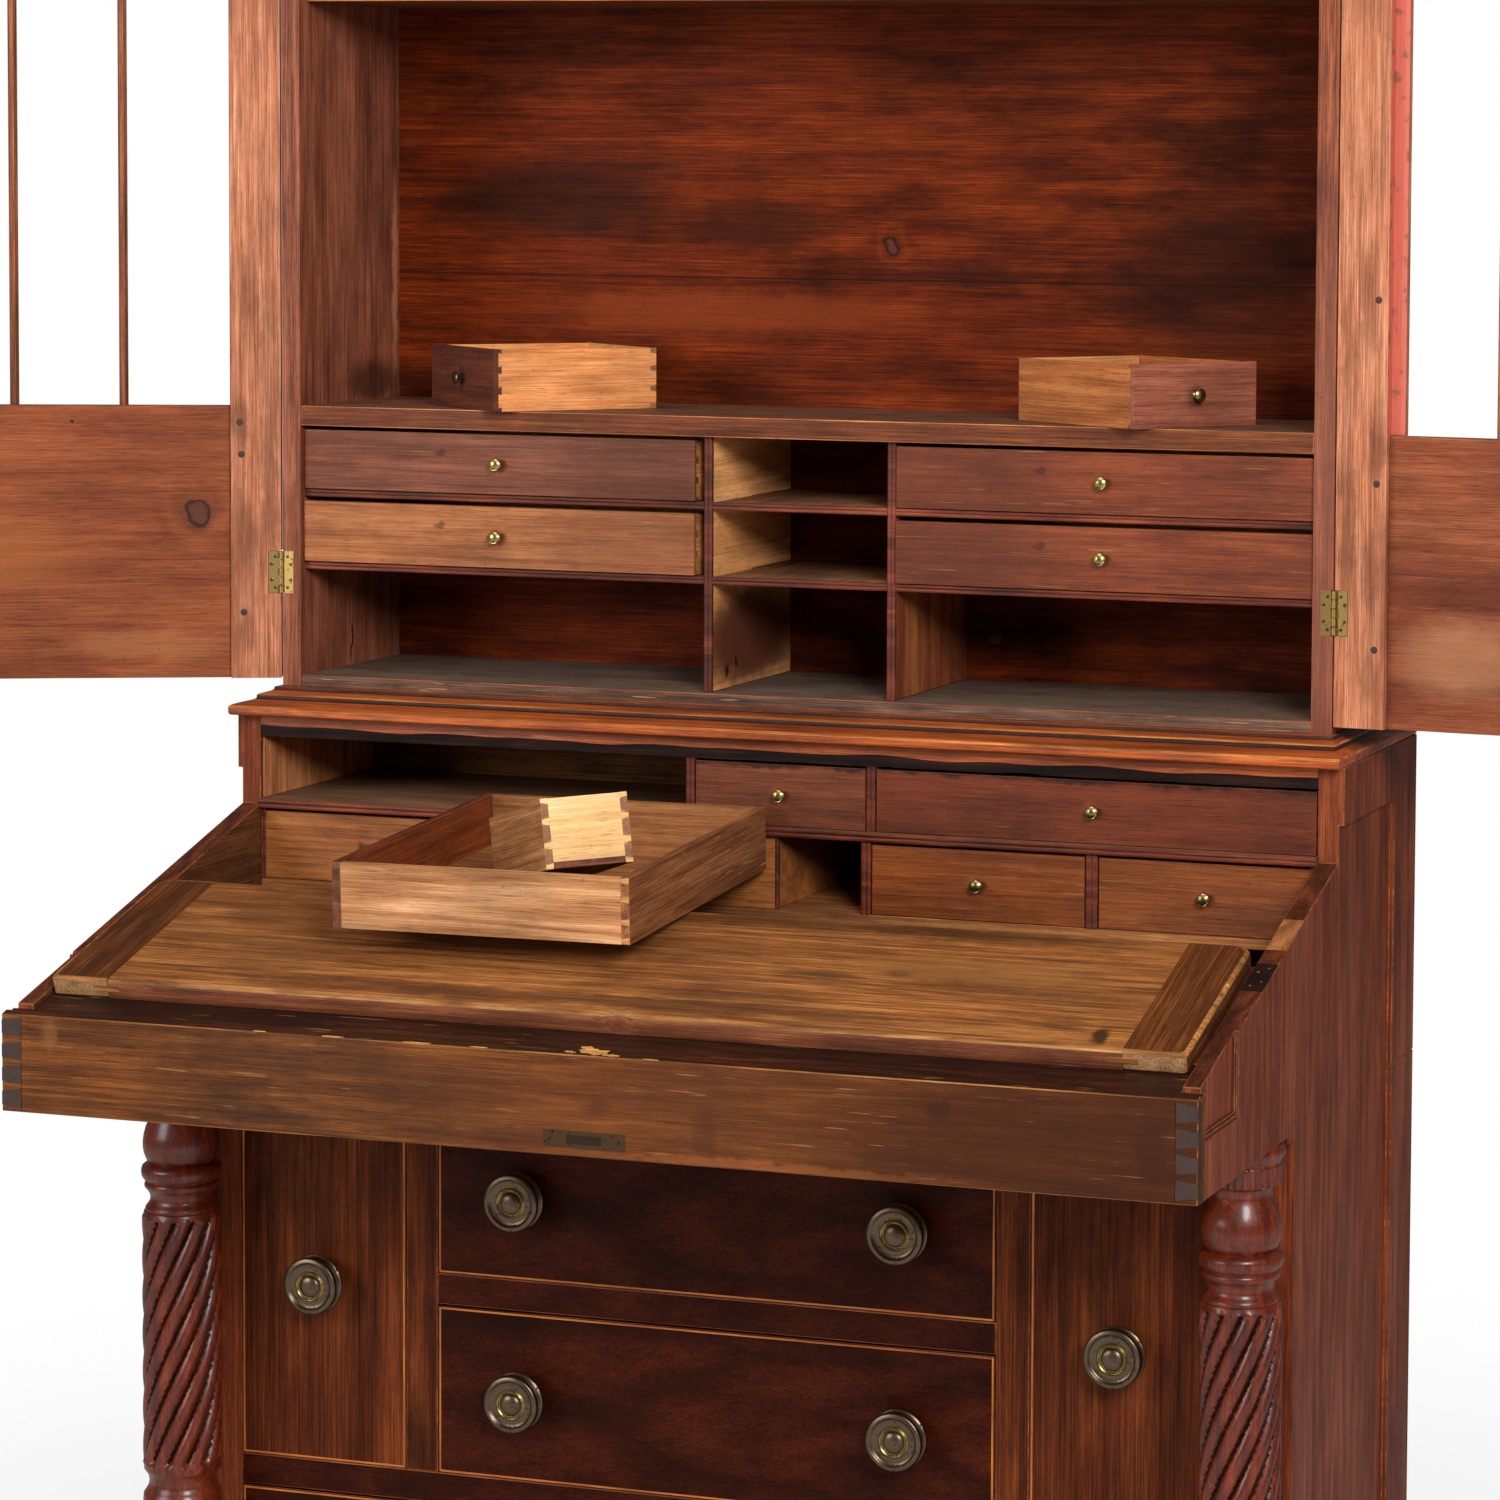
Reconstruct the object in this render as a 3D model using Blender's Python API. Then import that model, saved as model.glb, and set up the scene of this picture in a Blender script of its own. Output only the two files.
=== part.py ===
"""Mahogany secretary bookcase in two cases, doors open, with its small drawers and loose pieces.

Metres, +Z up. X runs along the front, Y from the front to the back. Pieces are modelled with X = 0 in
the middle of the case, Y = 0 at the front edges of the bookcase sides and Z = 0 on the ground. At the end
everything is moved along X and Y, so that the origin lies under the middle of the whole object.
"""
import math

import bmesh
import bpy
from mathutils import Matrix, Vector

# Fits
seat_gap = 0.0003
slide_gap = 0.0008
top_gap = 0.0018
overrun = 0.002

# Round shapes
round_sides = 12
smooth_degrees = 35.0

# Boards
side_board = 0.0197
back_board = 0.0120
back_inset = 0.0220

# Lower case
case_half = 0.5550
case_back_y = 0.2219
case_front_y = -0.1791
base_bottom_z = 0.0820
base_top_z = 0.1300
desk_bottom_z = 0.6705
post_width = 0.0720
post_depth = 0.0291
frieze_height = 0.0340
stile_inner = 0.2775
stile_outer = 0.3093
stile_depth = 0.0291
partition_board = 0.0180
partition_x = 0.2930
low_blade_bottom_z = 0.2584
low_blade_height = 0.0289
centre_blade_bottom_z = 0.4482
centre_blade_height = 0.0289
blade_depth = 0.0300
dust_board = 0.0120
bottom_board = 0.0180
proud_stile = 0.0050
rear_stile_width = 0.0822
rear_leg_depth = 0.0450

# Columns
column_inset = 0.0350
column_y = -0.2245
column_radius = 0.0368
cap_height = 0.1442
spiral_bottom_z = 0.2900
spiral_pitch = 0.4300
reed_depth = 0.0042
reeds = 12
spiral_rings = 14
column_block = 0.0740
column_block_top_z = 0.1800
foot_top_radius = 0.0300
cap_shares = (
    (0.000, 0.98), (0.035, 1.04), (0.080, 1.00), (0.094, 0.95), (0.131, 0.965), (0.238, 0.97),
    (0.258, 0.84), (0.302, 0.75), (0.375, 0.82), (0.468, 0.945), (0.552, 0.97), (0.623, 0.90),
    (0.654, 0.82), (0.667, 0.93), (0.700, 1.01), (0.745, 0.995), (0.774, 0.89), (0.802, 0.935),
    (0.838, 0.85), (0.885, 0.785), (0.927, 0.845), (0.957, 0.915), (0.976, 0.945), (0.995, 0.965),
)
lower_turning_shares = ((0.06, 0.97), (0.16, 0.84), (0.30, 0.99), (0.42, 0.99), (0.46, 0.86), (0.80, 1.00))
foot_shares = ((0.00, 0.80), (0.22, 1.00), (0.50, 1.22), (0.78, 1.00), (1.00, 0.62))

# Desk
desk_front_y = -0.4736
desk_front_top_z = 0.7579
row_front_y = -0.0445
slope_top_z = 0.8895
front_rail = 0.0197
rail_lip = 0.0080
ledge_drop = 0.0042
ledge_thickness = 0.0140
ledge_rear_y = -0.4080
side_ledge = 0.0120
side_ledge_rear_y = -0.2360
desk_bottom_board = 0.0190
rail_block_height = 0.0530
recess_depth = 0.0040
recess_rear_y = -0.3565
recess_bottom_z = 0.7200

# Drawer rows of the desk
lip_top_z = 0.8946
lip_height = 0.0088
lip_proud = 0.0060
row_one_top_z = 0.9561
row_divider = 0.0087
row_one_left_divider_x = -0.0808
row_one_right_divider_x = 0.1019
row_two_floor_z = 0.8164
row_two_floor_board = 0.0100
row_two_drawer_top = 0.0026
facing_left = -0.3210
facing_right = 0.0077
facing_board = 0.0085
hole_divider = 0.0097
hole_divider_x = 0.0974
bead_divider = 0.0115
bead_divider_x = 0.3200
row_two_end_gap = 0.0040
row_rear_room = 0.0079

# Waist
waist_overhang = 0.0050
waist_front_y = -0.0636
waist_bottom_z = 0.9773
waist_top_z = 1.0004
strip_front_y = -0.0443
strip_depth = 0.0190
waist_shares = (
    (0.00, 0.96), (0.10, 1.00), (0.36, 1.00), (0.44, 0.90), (0.50, 0.72), (0.56, 0.52),
    (0.62, 0.48), (0.76, 0.46), (0.82, 0.30), (0.86, 0.18), (1.00, 0.15),
)

# Bookcase
book_inset = 0.0200
book_board = 0.0196
book_back_y = 0.2175
book_back_inner_y = 0.2067
book_back_board = 0.0100
book_floor_z = 1.0120
book_top_z = 2.0522
nest_front_y = 0.0090
nest_board = 0.0072
nest_low_height = 0.1040
nest_middle_height = 0.0643
nest_top_height = 0.0629
nest_divider = 0.0083
nest_left_x = -0.0863
nest_right_x = 0.1007
thick_shelf = 0.0193
book_shelf_height = 0.6600
book_shelf_front_y = 0.0150
cornice_height = 0.0878
cornice_reach = 0.0450
cornice_shares = (
    (0.00, 0.10), (0.14, 0.14), (0.18, 0.28), (0.34, 0.34), (0.50, 0.46), (0.64, 0.66),
    (0.74, 0.92), (0.80, 1.00), (1.00, 1.00),
)

# Doors
door_meeting_room = 0.0026
door_height = 1.0400
door_thickness = 0.0200
door_drop = 0.0041
door_gap = 0.0005
hinge_offset = 0.0010
door_edge = 0.0004
hinge_stile = 0.0485
meeting_stile = 0.0655
left_rebate = 0.0012
right_rebate = 0.0135
rebate_depth = 0.0120
board_recess = 0.0065
board_clear = 0.0006
top_rail = 0.0650
bar_width = 0.0086
bar_place_shares = (0.2466, 0.4950, 0.7435)
head_height = 0.0950
head_steps = 5
left_open_degrees = 154.8
right_open_degrees = 175.4

# Hinges
hinge_height = 0.0414
hinge_low = 0.0800
hinge_high = 0.9200
leaf_width = 0.0125
leaf_thickness = 0.0013
barrel_radius = 0.0026
barrel_sides = 8

# Small drawers
drawer_front = 0.0085
drawer_side = 0.0065
drawer_floor = 0.0060
small_knob_radius = 0.0064
small_knob_length = 0.0105
small_knob_sides = 8
small_knob_shares = ((0.00, 0.55), (0.25, 0.50), (0.45, 0.80), (0.70, 1.00), (0.90, 0.85), (1.00, 0.45))
nest_rear_room = 0.0157
left_drawer_slack = 0.0080
nest_drawer_faces = (0.0062, 0.0050, 0.0060, 0.0046)

# Large drawers
large_front = 0.0200
large_side = 0.0120
large_floor = 0.0090
large_rear_room = 0.0290
large_knob_radius = 0.0272
large_knob_length = 0.0340
large_knob_sides = 12
large_knob_shares = (
    (0.00, 0.72), (0.10, 0.72), (0.16, 0.42), (0.45, 0.42), (0.55, 0.92), (0.66, 1.00),
    (0.80, 1.00), (0.88, 0.70), (0.90, 0.40), (1.00, 0.28),
)
centre_knob_x = 0.1915
long_knob_x = 0.3300
knob_sink = 0.0010

# Loose pieces
loose_width = 0.1485
loose_depth = 0.1725
loose_height = 0.0597
left_loose_inset = 0.2186
right_loose_inset = 0.1665
loose_near_y = -0.0212
left_loose_turn = 50.0
right_loose_turn = 57.0
big_width = 0.2825
big_length = 0.3290
big_height = 0.0595
big_x = 0.0097
big_near_y = -0.3817
big_turn = 1.59
big_tilt = 3.12
big_wall = 0.0080
big_floor = 0.0120
tilted_width = 0.0790
tilted_depth = 0.1733
tilted_height = 0.0626
tilted_x = -0.0783
tilted_overhang = 0.0048
tilted_turn = 40.1
lid_side_room = 0.0033
lid_rear_along = 0.1960
lid_front_along = 0.4000
lid_thickness = 0.0180
lid_corner = 0.0150

# Worked-out sizes
inner_half = case_half - side_board
post_inner = case_half - post_width
column_x = case_half - column_inset
waist_half = case_half + waist_overhang
book_half = case_half - book_inset
book_inner = book_half - book_board
slope_run = row_front_y - desk_front_y
slope = (slope_top_z - desk_front_top_z) / slope_run
slope_angle = math.atan(slope)
lower_back_y = case_back_y - back_inset - back_board
large_drawer_depth = lower_back_y - case_front_y - large_rear_room
row_drawer_depth = lower_back_y - row_front_y - row_rear_room
nest_drawer_depth = book_back_inner_y - nest_front_y - nest_rear_room
door_width = book_half + hinge_offset - door_edge - door_meeting_room
lid_half = inner_half - lid_side_room
left_loose_x = left_loose_inset - book_inner
right_loose_x = book_inner - right_loose_inset
plinth_front_y = column_y - column_block / 2
thick_shelf_z = (book_floor_z + nest_low_height + nest_middle_height + nest_top_height
                 + 2 * nest_board)
thick_shelf_top_z = thick_shelf_z + thick_shelf
door_board_height = thick_shelf_top_z - book_floor_z + door_drop - board_clear


def clear_scene():
    for item in list(bpy.data.objects):
        bpy.data.objects.remove(item)


def linear(channel):
    share = channel / 255
    if share <= 0.04045:
        return share / 12.92
    return ((share + 0.055) / 1.055) ** 2.4


def material(name, hex_colour, roughness, metallic=0.0):
    """Returns the named Principled material, made once from its sRGB colour."""
    found = bpy.data.materials.get(name)
    if found:
        return found
    made = bpy.data.materials.new(name)
    made.use_nodes = True
    shader = made.node_tree.nodes["Principled BSDF"]
    channels = [linear(int(hex_colour[start:start + 2], 16)) for start in (0, 2, 4)]
    shader.inputs["Base Color"].default_value = (*channels, 1)
    shader.inputs["Roughness"].default_value = roughness
    shader.inputs["Metallic"].default_value = metallic
    return made


def mahogany():
    return material("mahogany", "6b3527", 0.35)


def pine():
    return material("pine", "c98e55", 0.6)


def stained_pine():
    return material("stained_pine", "7a3a20", 0.6)


def cherry():
    return material("cherry", "7c4a26", 0.5)


def writing_board():
    return material("writing_board", "8d6639", 0.65)


def brass():
    return material("brass", "b89a3f", 0.35, 1.0)


def finish(name, mesh_data, look, origin=(0, 0, 0), rounded=False):
    """Turns a bmesh in case coordinates into a named object with its origin where it is wanted."""
    bmesh.ops.recalc_face_normals(mesh_data, faces=mesh_data.faces)
    bmesh.ops.translate(mesh_data, vec=-Vector(origin), verts=mesh_data.verts)
    mesh = bpy.data.meshes.new(name)
    mesh_data.to_mesh(mesh)
    mesh_data.free()
    mesh.materials.append(look)
    item = bpy.data.objects.new(name, mesh)
    item.location = origin
    bpy.context.collection.objects.link(item)
    if rounded:
        mesh.shade_smooth()
        mesh.set_sharp_from_angle(angle=math.radians(smooth_degrees))
    bpy.context.view_layer.update()
    return item


def combine(target, tool, operation):
    """Joins the tool to the target, or cuts it away, and deletes the tool."""
    modifier = target.modifiers.new(operation.lower(), "BOOLEAN")
    modifier.operation = operation
    modifier.solver = "EXACT"
    modifier.object = tool
    bpy.context.view_layer.update()
    evaluated = target.evaluated_get(bpy.context.evaluated_depsgraph_get())
    mesh = bpy.data.meshes.new_from_object(evaluated)
    target.modifiers.clear()
    target.data = mesh
    bpy.data.objects.remove(tool)
    return target


def box_faces(mesh_data, low, high):
    corners = [mesh_data.verts.new((x, y, z)) for x in (low[0], high[0])
               for y in (low[1], high[1]) for z in (low[2], high[2])]
    for face in ((0, 1, 3, 2), (4, 6, 7, 5), (0, 4, 5, 1), (2, 3, 7, 6), (0, 2, 6, 4), (1, 5, 7, 3)):
        mesh_data.faces.new([corners[index] for index in face])


def box(name, low, high, look):
    mesh_data = bmesh.new()
    box_faces(mesh_data, low, high)
    origin = [(first + last) / 2 for first, last in zip(low, high)]
    return finish(name, mesh_data, look, origin)


def placed(axis, across, first, second):
    """Puts an outline point and a distance along the axis in X, Y, Z order."""
    if axis == "X":
        return (across, first, second)
    if axis == "Y":
        return (first, across, second)
    return (first, second, across)


def prism(name, outline, axis, low, high, look):
    """Extrudes an outline along one axis. The outline lists (Y, Z), (X, Z) or (X, Y) points."""
    mesh_data = bmesh.new()
    ends = []
    for across in (low, high):
        points = [placed(axis, across, first, second) for first, second in outline]
        ends.append([mesh_data.verts.new(point) for point in points])
    mesh_data.faces.new(ends[0])
    mesh_data.faces.new(ends[1])
    count = len(outline)
    for index in range(count):
        following = (index + 1) % count
        mesh_data.faces.new((ends[0][index], ends[0][following], ends[1][following], ends[1][index]))
    return finish(name, mesh_data, look)


def ring_solid(mesh_data, rings):
    """Bridges closed rings of equal length and caps both ends."""
    made = [[mesh_data.verts.new(point) for point in ring] for ring in rings]
    count = len(made[0])
    for lower, upper in zip(made, made[1:]):
        for index in range(count):
            following = (index + 1) % count
            mesh_data.faces.new((lower[index], lower[following], upper[following], upper[index]))
    mesh_data.faces.new(made[0])
    mesh_data.faces.new(made[-1])


def circle(radius, sides, height, turn=0.0):
    points = []
    for index in range(sides):
        angle = turn + 2 * math.pi * index / sides
        points.append((radius * math.cos(angle), radius * math.sin(angle), height))
    return points


def moulded_slab(name, bottom_z, height, shares, half, front_y, side_reach, front_reach, back_y, look):
    """A slab whose front and end edges follow a moulding, given as (height share, reach share)."""
    rings = []
    for height_share, reach_share in shares:
        z = bottom_z + height * height_share
        x = half + side_reach * reach_share
        y = front_y - front_reach * reach_share
        rings.append([(-x, y, z), (x, y, z), (x, back_y, z), (-x, back_y, z)])
    mesh_data = bmesh.new()
    ring_solid(mesh_data, rings)
    return finish(name, mesh_data, look)


def slope_z(y):
    """Height of the desk's slope at a depth."""
    return slope_top_z + (y - row_front_y) * slope


def mirrored(side, low, high):
    """X limits for the left (-1) or right (+1) of a pair."""
    return (low, high) if side > 0 else (-high, -low)


def side_name(side):
    return "right" if side > 0 else "left"


# Lower case

def column_ring(z, radius, reed):
    points = []
    sides = 2 * reeds
    turn = 2 * math.pi * z / spiral_pitch if reed else 0
    for index in range(sides):
        angle = turn + 2 * math.pi * index / sides
        reach = radius - reed * (index % 2)
        points.append((reach * math.cos(angle), reach * math.sin(angle), z))
    return points


def column(side):
    """Turned and spiral-reeded column with its square block and turned front foot in one piece."""
    top_z = desk_bottom_z - seat_gap
    spiral_top_z = top_z - cap_height
    rings = [column_ring(top_z - cap_height * drop, column_radius * share, 0) for drop, share in cap_shares]
    for step in range(spiral_rings + 1):
        z = spiral_top_z - (spiral_top_z - spiral_bottom_z) * step / spiral_rings
        rings.append(column_ring(z, column_radius, reed_depth))
    lower_height = spiral_bottom_z - column_block_top_z
    for drop, share in lower_turning_shares:
        rings.append(column_ring(spiral_bottom_z - lower_height * drop, column_radius * share, 0))
    rings.append(column_ring(column_block_top_z - overrun, column_radius, 0))
    mesh_data = bmesh.new()
    ring_solid(mesh_data, rings)
    name = "column_" + side_name(side)
    shaft = finish(name, mesh_data, mahogany(), rounded=True)
    half = column_block / 2
    block = box("block", (-half, -half, base_bottom_z), (half, half, column_block_top_z), mahogany())
    shaft = combine(shaft, block, "UNION")
    foot_height = base_bottom_z + overrun
    foot_rings = [circle(foot_top_radius * share, round_sides, foot_height * (1 - drop))
                  for drop, share in foot_shares]
    foot_data = bmesh.new()
    ring_solid(foot_data, foot_rings)
    shaft = combine(shaft, finish("foot", foot_data, mahogany()), "UNION")
    shaft.name = name
    shaft.location = (side * column_x, column_y, 0)
    return shaft


def case_side(side):
    """Side board with its corner post, the proud rear stile and the rear leg."""
    outline_right = [
        (inner_half, case_back_y), (case_half, case_back_y), (case_half, case_front_y),
        (post_inner, case_front_y), (post_inner, case_front_y + post_depth),
        (inner_half, case_front_y + post_depth),
    ]
    outline = [(side * x, y) for x, y in outline_right]
    top_z = desk_bottom_z - seat_gap
    name = "case_side_" + side_name(side)
    board = prism(name, outline, "Z", base_bottom_z + seat_gap, top_z, mahogany())
    low, high = mirrored(side, case_half - proud_stile, case_half + proud_stile)
    stile_y = case_back_y - rear_stile_width
    stile = box("stile", (low, stile_y, base_bottom_z + overrun), (high, case_back_y, top_z), mahogany())
    board = combine(board, stile, "UNION")
    low, high = mirrored(side, inner_half, case_half + proud_stile)
    leg = box("leg", (low, case_back_y - rear_leg_depth, 0), (high, case_back_y, base_bottom_z + 2 * overrun),
              mahogany())
    return combine(board, leg, "UNION")


def lower_back():
    reach = inner_half - seat_gap
    box("lower_back", (-reach, lower_back_y, base_bottom_z + seat_gap),
        (reach, lower_back_y + back_board, waist_bottom_z - seat_gap), stained_pine())


def base_board():
    """Plinth between the column blocks, running back as the bottom board of the case."""
    step_y = case_front_y + post_depth
    rear_y = lower_back_y - seat_gap
    outline = [
        (plinth_front_y, base_bottom_z), (step_y, base_bottom_z), (step_y, base_top_z - bottom_board),
        (rear_y, base_top_z - bottom_board), (rear_y, base_top_z), (plinth_front_y, base_top_z),
    ]
    reach = post_inner - seat_gap
    prism("base_board", outline, "X", -reach, reach, mahogany())


def blade(name, bottom_z, height, reach):
    """Drawer blade across the front with its dust board behind."""
    step_y = case_front_y + blade_depth
    rear_y = lower_back_y - seat_gap
    top_z = bottom_z + height
    outline = [
        (case_front_y, bottom_z), (step_y, bottom_z), (step_y, top_z - dust_board),
        (rear_y, top_z - dust_board), (rear_y, top_z), (case_front_y, top_z),
    ]
    prism(name, outline, "X", -reach, reach, mahogany())


def partition(side):
    """Upright board between the centre and side drawers, behind its front stile."""
    half = partition_board / 2
    step_y = case_front_y + stile_depth
    rear_y = lower_back_y - seat_gap
    outline_right = [
        (stile_inner, case_front_y), (stile_outer, case_front_y), (stile_outer, step_y),
        (partition_x + half, step_y), (partition_x + half, rear_y), (partition_x - half, rear_y),
        (partition_x - half, step_y), (stile_inner, step_y),
    ]
    outline = [(side * x, y) for x, y in outline_right]
    low_z = low_blade_bottom_z + low_blade_height + seat_gap
    high_z = desk_bottom_z - frieze_height - seat_gap
    prism("partition_" + side_name(side), outline, "Z", low_z, high_z, mahogany())


# Desk

def desk_bottom():
    reach = inner_half - seat_gap
    front_y = desk_front_y + front_rail + seat_gap
    board = box("desk_bottom", (-reach, front_y, desk_bottom_z),
                (reach, lower_back_y - seat_gap, desk_bottom_z + desk_bottom_board), stained_pine())
    frieze_reach = post_inner - seat_gap
    frieze = box("frieze", (-frieze_reach, case_front_y, desk_bottom_z - frieze_height),
                 (frieze_reach, case_front_y + post_depth, desk_bottom_z + overrun), mahogany())
    return combine(board, frieze, "UNION")


def ledge_z(y):
    return slope_z(y) - ledge_drop


def desk_front_rail():
    """Front rail with a narrow lip along the slope and a ledge behind it that carries the lid."""
    rear_y = desk_front_y + front_rail
    lip_y = desk_front_y + rail_lip
    outline = [
        (desk_front_y, desk_bottom_z), (rear_y, desk_bottom_z), (rear_y, ledge_z(rear_y)),
        (lip_y, ledge_z(lip_y)), (lip_y, slope_z(lip_y)), (desk_front_y, slope_z(desk_front_y)),
    ]
    rail = prism("desk_front_rail", outline, "X", -case_half, case_half, mahogany())
    start_y = rear_y - overrun
    ledge_outline = [
        (start_y, ledge_z(start_y) - ledge_thickness), (ledge_rear_y, ledge_z(ledge_rear_y) - ledge_thickness),
        (ledge_rear_y, ledge_z(ledge_rear_y)), (start_y, ledge_z(start_y)),
    ]
    reach = inner_half - seat_gap
    return combine(rail, prism("ledge", ledge_outline, "X", -reach, reach, mahogany()), "UNION")


def desk_side(side):
    """Sloped side of the desk with its lid ledge, proud block and stile, and sunk front field."""
    front_y = desk_front_y + front_rail + seat_gap
    top_z = waist_bottom_z - seat_gap
    outline = [
        (front_y, desk_bottom_z), (front_y, slope_z(front_y)), (row_front_y, slope_top_z),
        (row_front_y, top_z), (case_back_y, top_z), (case_back_y, desk_bottom_z),
    ]
    low, high = mirrored(side, inner_half, case_half)
    board = prism("desk_side_" + side_name(side), outline, "X", low, high, mahogany())
    low, high = mirrored(side, case_half - proud_stile, case_half + proud_stile)
    block = box("block", (low, row_front_y, top_z - rail_block_height), (high, case_back_y, top_z), mahogany())
    board = combine(board, block, "UNION")
    stile = box("stile", (low, case_back_y - rear_stile_width, desk_bottom_z),
                (high, case_back_y, top_z - rail_block_height + overrun), mahogany())
    board = combine(board, stile, "UNION")
    ledge_front_y = ledge_rear_y + seat_gap
    ledge_outline = [
        (ledge_front_y, ledge_z(ledge_front_y) - ledge_thickness),
        (side_ledge_rear_y, ledge_z(side_ledge_rear_y) - ledge_thickness),
        (side_ledge_rear_y, ledge_z(side_ledge_rear_y)), (ledge_front_y, ledge_z(ledge_front_y)),
    ]
    low, high = mirrored(side, inner_half - side_ledge, inner_half + overrun)
    board = combine(board, prism("ledge", ledge_outline, "X", low, high, mahogany()), "UNION")
    recess_front_y = front_y - overrun
    recess_outline = [
        (recess_front_y, recess_bottom_z), (recess_rear_y, recess_bottom_z),
        (recess_rear_y, slope_z(recess_rear_y) + overrun), (recess_front_y, slope_z(recess_front_y) + overrun),
    ]
    low, high = mirrored(side, case_half - recess_depth, case_half + overrun)
    return combine(board, prism("recess", recess_outline, "X", low, high, mahogany()), "DIFFERENCE")


def row_boards():
    """Floors, dividers and the fixed facing of the two drawer rows in the desk."""
    reach = inner_half - seat_gap
    rear_y = lower_back_y - seat_gap
    lip_bottom_z = lip_top_z - lip_height
    box("row_one_floor", (-reach, row_front_y - lip_proud, lip_bottom_z), (reach, rear_y, lip_top_z), cherry())
    for side, x in ((-1, row_one_left_divider_x), (1, row_one_right_divider_x)):
        box("row_one_divider_" + side_name(side),
            (x - row_divider / 2, row_front_y, lip_top_z + seat_gap),
            (x + row_divider / 2, rear_y, row_one_top_z - seat_gap), cherry())
    box("row_two_floor", (-reach, row_front_y, row_two_floor_z - row_two_floor_board),
        (reach, rear_y, row_two_floor_z), cherry())
    low_z = row_two_floor_z + seat_gap
    high_z = lip_bottom_z - seat_gap
    for name, x, board in (("row_two_divider_left", hole_divider_x, hole_divider),
                           ("row_two_divider_right", bead_divider_x, bead_divider)):
        box(name, (x - board / 2, row_front_y, low_z), (x + board / 2, rear_y, high_z), cherry())
    step_y = row_front_y + facing_board
    outline = [
        (facing_left, row_front_y), (facing_right, row_front_y), (facing_right, rear_y),
        (facing_right - facing_board, rear_y), (facing_right - facing_board, step_y),
        (facing_left + facing_board, step_y), (facing_left + facing_board, rear_y), (facing_left, rear_y),
    ]
    prism("row_two_facing", outline, "Z", low_z, high_z, cherry())


def waist_board():
    """Moulded board between the two cases, with the darkened strip under its front edge."""
    front_reach = -waist_front_y
    side_reach = waist_half - book_half
    board = moulded_slab("waist_board", waist_bottom_z, waist_top_z - waist_bottom_z, waist_shares,
                         book_half, 0, side_reach, front_reach, case_back_y, mahogany())
    reach = inner_half - seat_gap
    strip = box("strip", (-reach, strip_front_y, row_one_top_z),
                (reach, strip_front_y + strip_depth, waist_bottom_z + overrun), mahogany())
    return combine(board, strip, "UNION")


# Bookcase

def bookcase_boards():
    """Sides, floor, back, shelves and cornice of the bookcase."""
    bottom_z = waist_top_z + seat_gap
    for side in (-1, 1):
        low, high = mirrored(side, book_inner, book_half)
        board = box("book_side_" + side_name(side), (low, 0, bottom_z), (high, book_back_y, book_top_z), mahogany())
        for height in (hinge_low, hinge_high):
            combine(board, hinge_cutter(side, height), "DIFFERENCE")
    reach = book_inner - seat_gap
    rear_y = book_back_inner_y - seat_gap
    box("book_floor", (-reach, seat_gap, bottom_z), (reach, rear_y, book_floor_z), stained_pine())
    box("book_back", (-reach, book_back_inner_y, bottom_z),
        (reach, book_back_inner_y + book_back_board, book_top_z), stained_pine())
    box("thick_shelf", (-reach, seat_gap, thick_shelf_z), (reach, rear_y, thick_shelf_top_z), stained_pine())
    shelf_z = book_floor_z + book_shelf_height
    box("book_shelf", (-reach, book_shelf_front_y, shelf_z), (reach, rear_y, shelf_z + thick_shelf), stained_pine())
    moulded_slab("cornice", book_top_z + seat_gap, cornice_height, cornice_shares, book_half, 0,
                 cornice_reach, cornice_reach, book_back_y, mahogany())


def nest():
    """Two thin shelves halved over two upright dividers."""
    reach = book_inner - seat_gap
    rear_y = book_back_inner_y - seat_gap
    middle_y = (nest_front_y + rear_y) / 2
    slot = nest_divider / 2 + seat_gap
    outline = [(-reach, nest_front_y)]
    for x in (nest_left_x, nest_right_x):
        outline += [(x - slot, nest_front_y), (x - slot, middle_y), (x + slot, middle_y), (x + slot, nest_front_y)]
    outline += [(reach, nest_front_y), (reach, rear_y), (-reach, rear_y)]
    first_z = book_floor_z + nest_low_height
    second_z = first_z + nest_board + nest_middle_height
    prism("nest_shelf_low", outline, "Z", first_z, first_z + nest_board, stained_pine())
    prism("nest_shelf_top", outline, "Z", second_z, second_z + nest_board, stained_pine())
    notch_y = middle_y - seat_gap
    bottom_z = book_floor_z + seat_gap
    top_z = thick_shelf_z - seat_gap
    profile = [(nest_front_y, bottom_z), (rear_y, bottom_z)]
    for z in (first_z, second_z):
        low_z = z - seat_gap
        high_z = z + nest_board + seat_gap
        profile += [(rear_y, low_z), (notch_y, low_z), (notch_y, high_z), (rear_y, high_z)]
    profile += [(rear_y, top_z), (nest_front_y, top_z)]
    for side, x in ((-1, nest_left_x), (1, nest_right_x)):
        prism("nest_divider_" + side_name(side), profile, "X", x - nest_divider / 2, x + nest_divider / 2,
              stained_pine())


# Doors: built closed in case coordinates, then turned about the hinge axis

def hinge_x(side):
    return side * (book_half + hinge_offset)


def hinge_cutter(side, height):
    """Room for a hinge barrel, taken out of the case side and the door stile."""
    mesh_data = bmesh.new()
    room = barrel_radius + 2 * seat_gap
    low_z = book_floor_z + height - seat_gap
    high_z = book_floor_z + height + hinge_height + seat_gap
    ring_solid(mesh_data, [circle(room, round_sides, z) for z in (low_z, high_z)])
    cutter = finish("cutter", mesh_data, brass())
    cutter.location = (hinge_x(side), 0, 0)
    bpy.context.view_layer.update()
    return cutter


def door_span(side, near, far):
    """X limits of a stretch of the closed door, measured from its hinge axis towards the middle."""
    first = hinge_x(side) - side * near
    last = hinge_x(side) - side * far
    return min(first, last), max(first, last)


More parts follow.
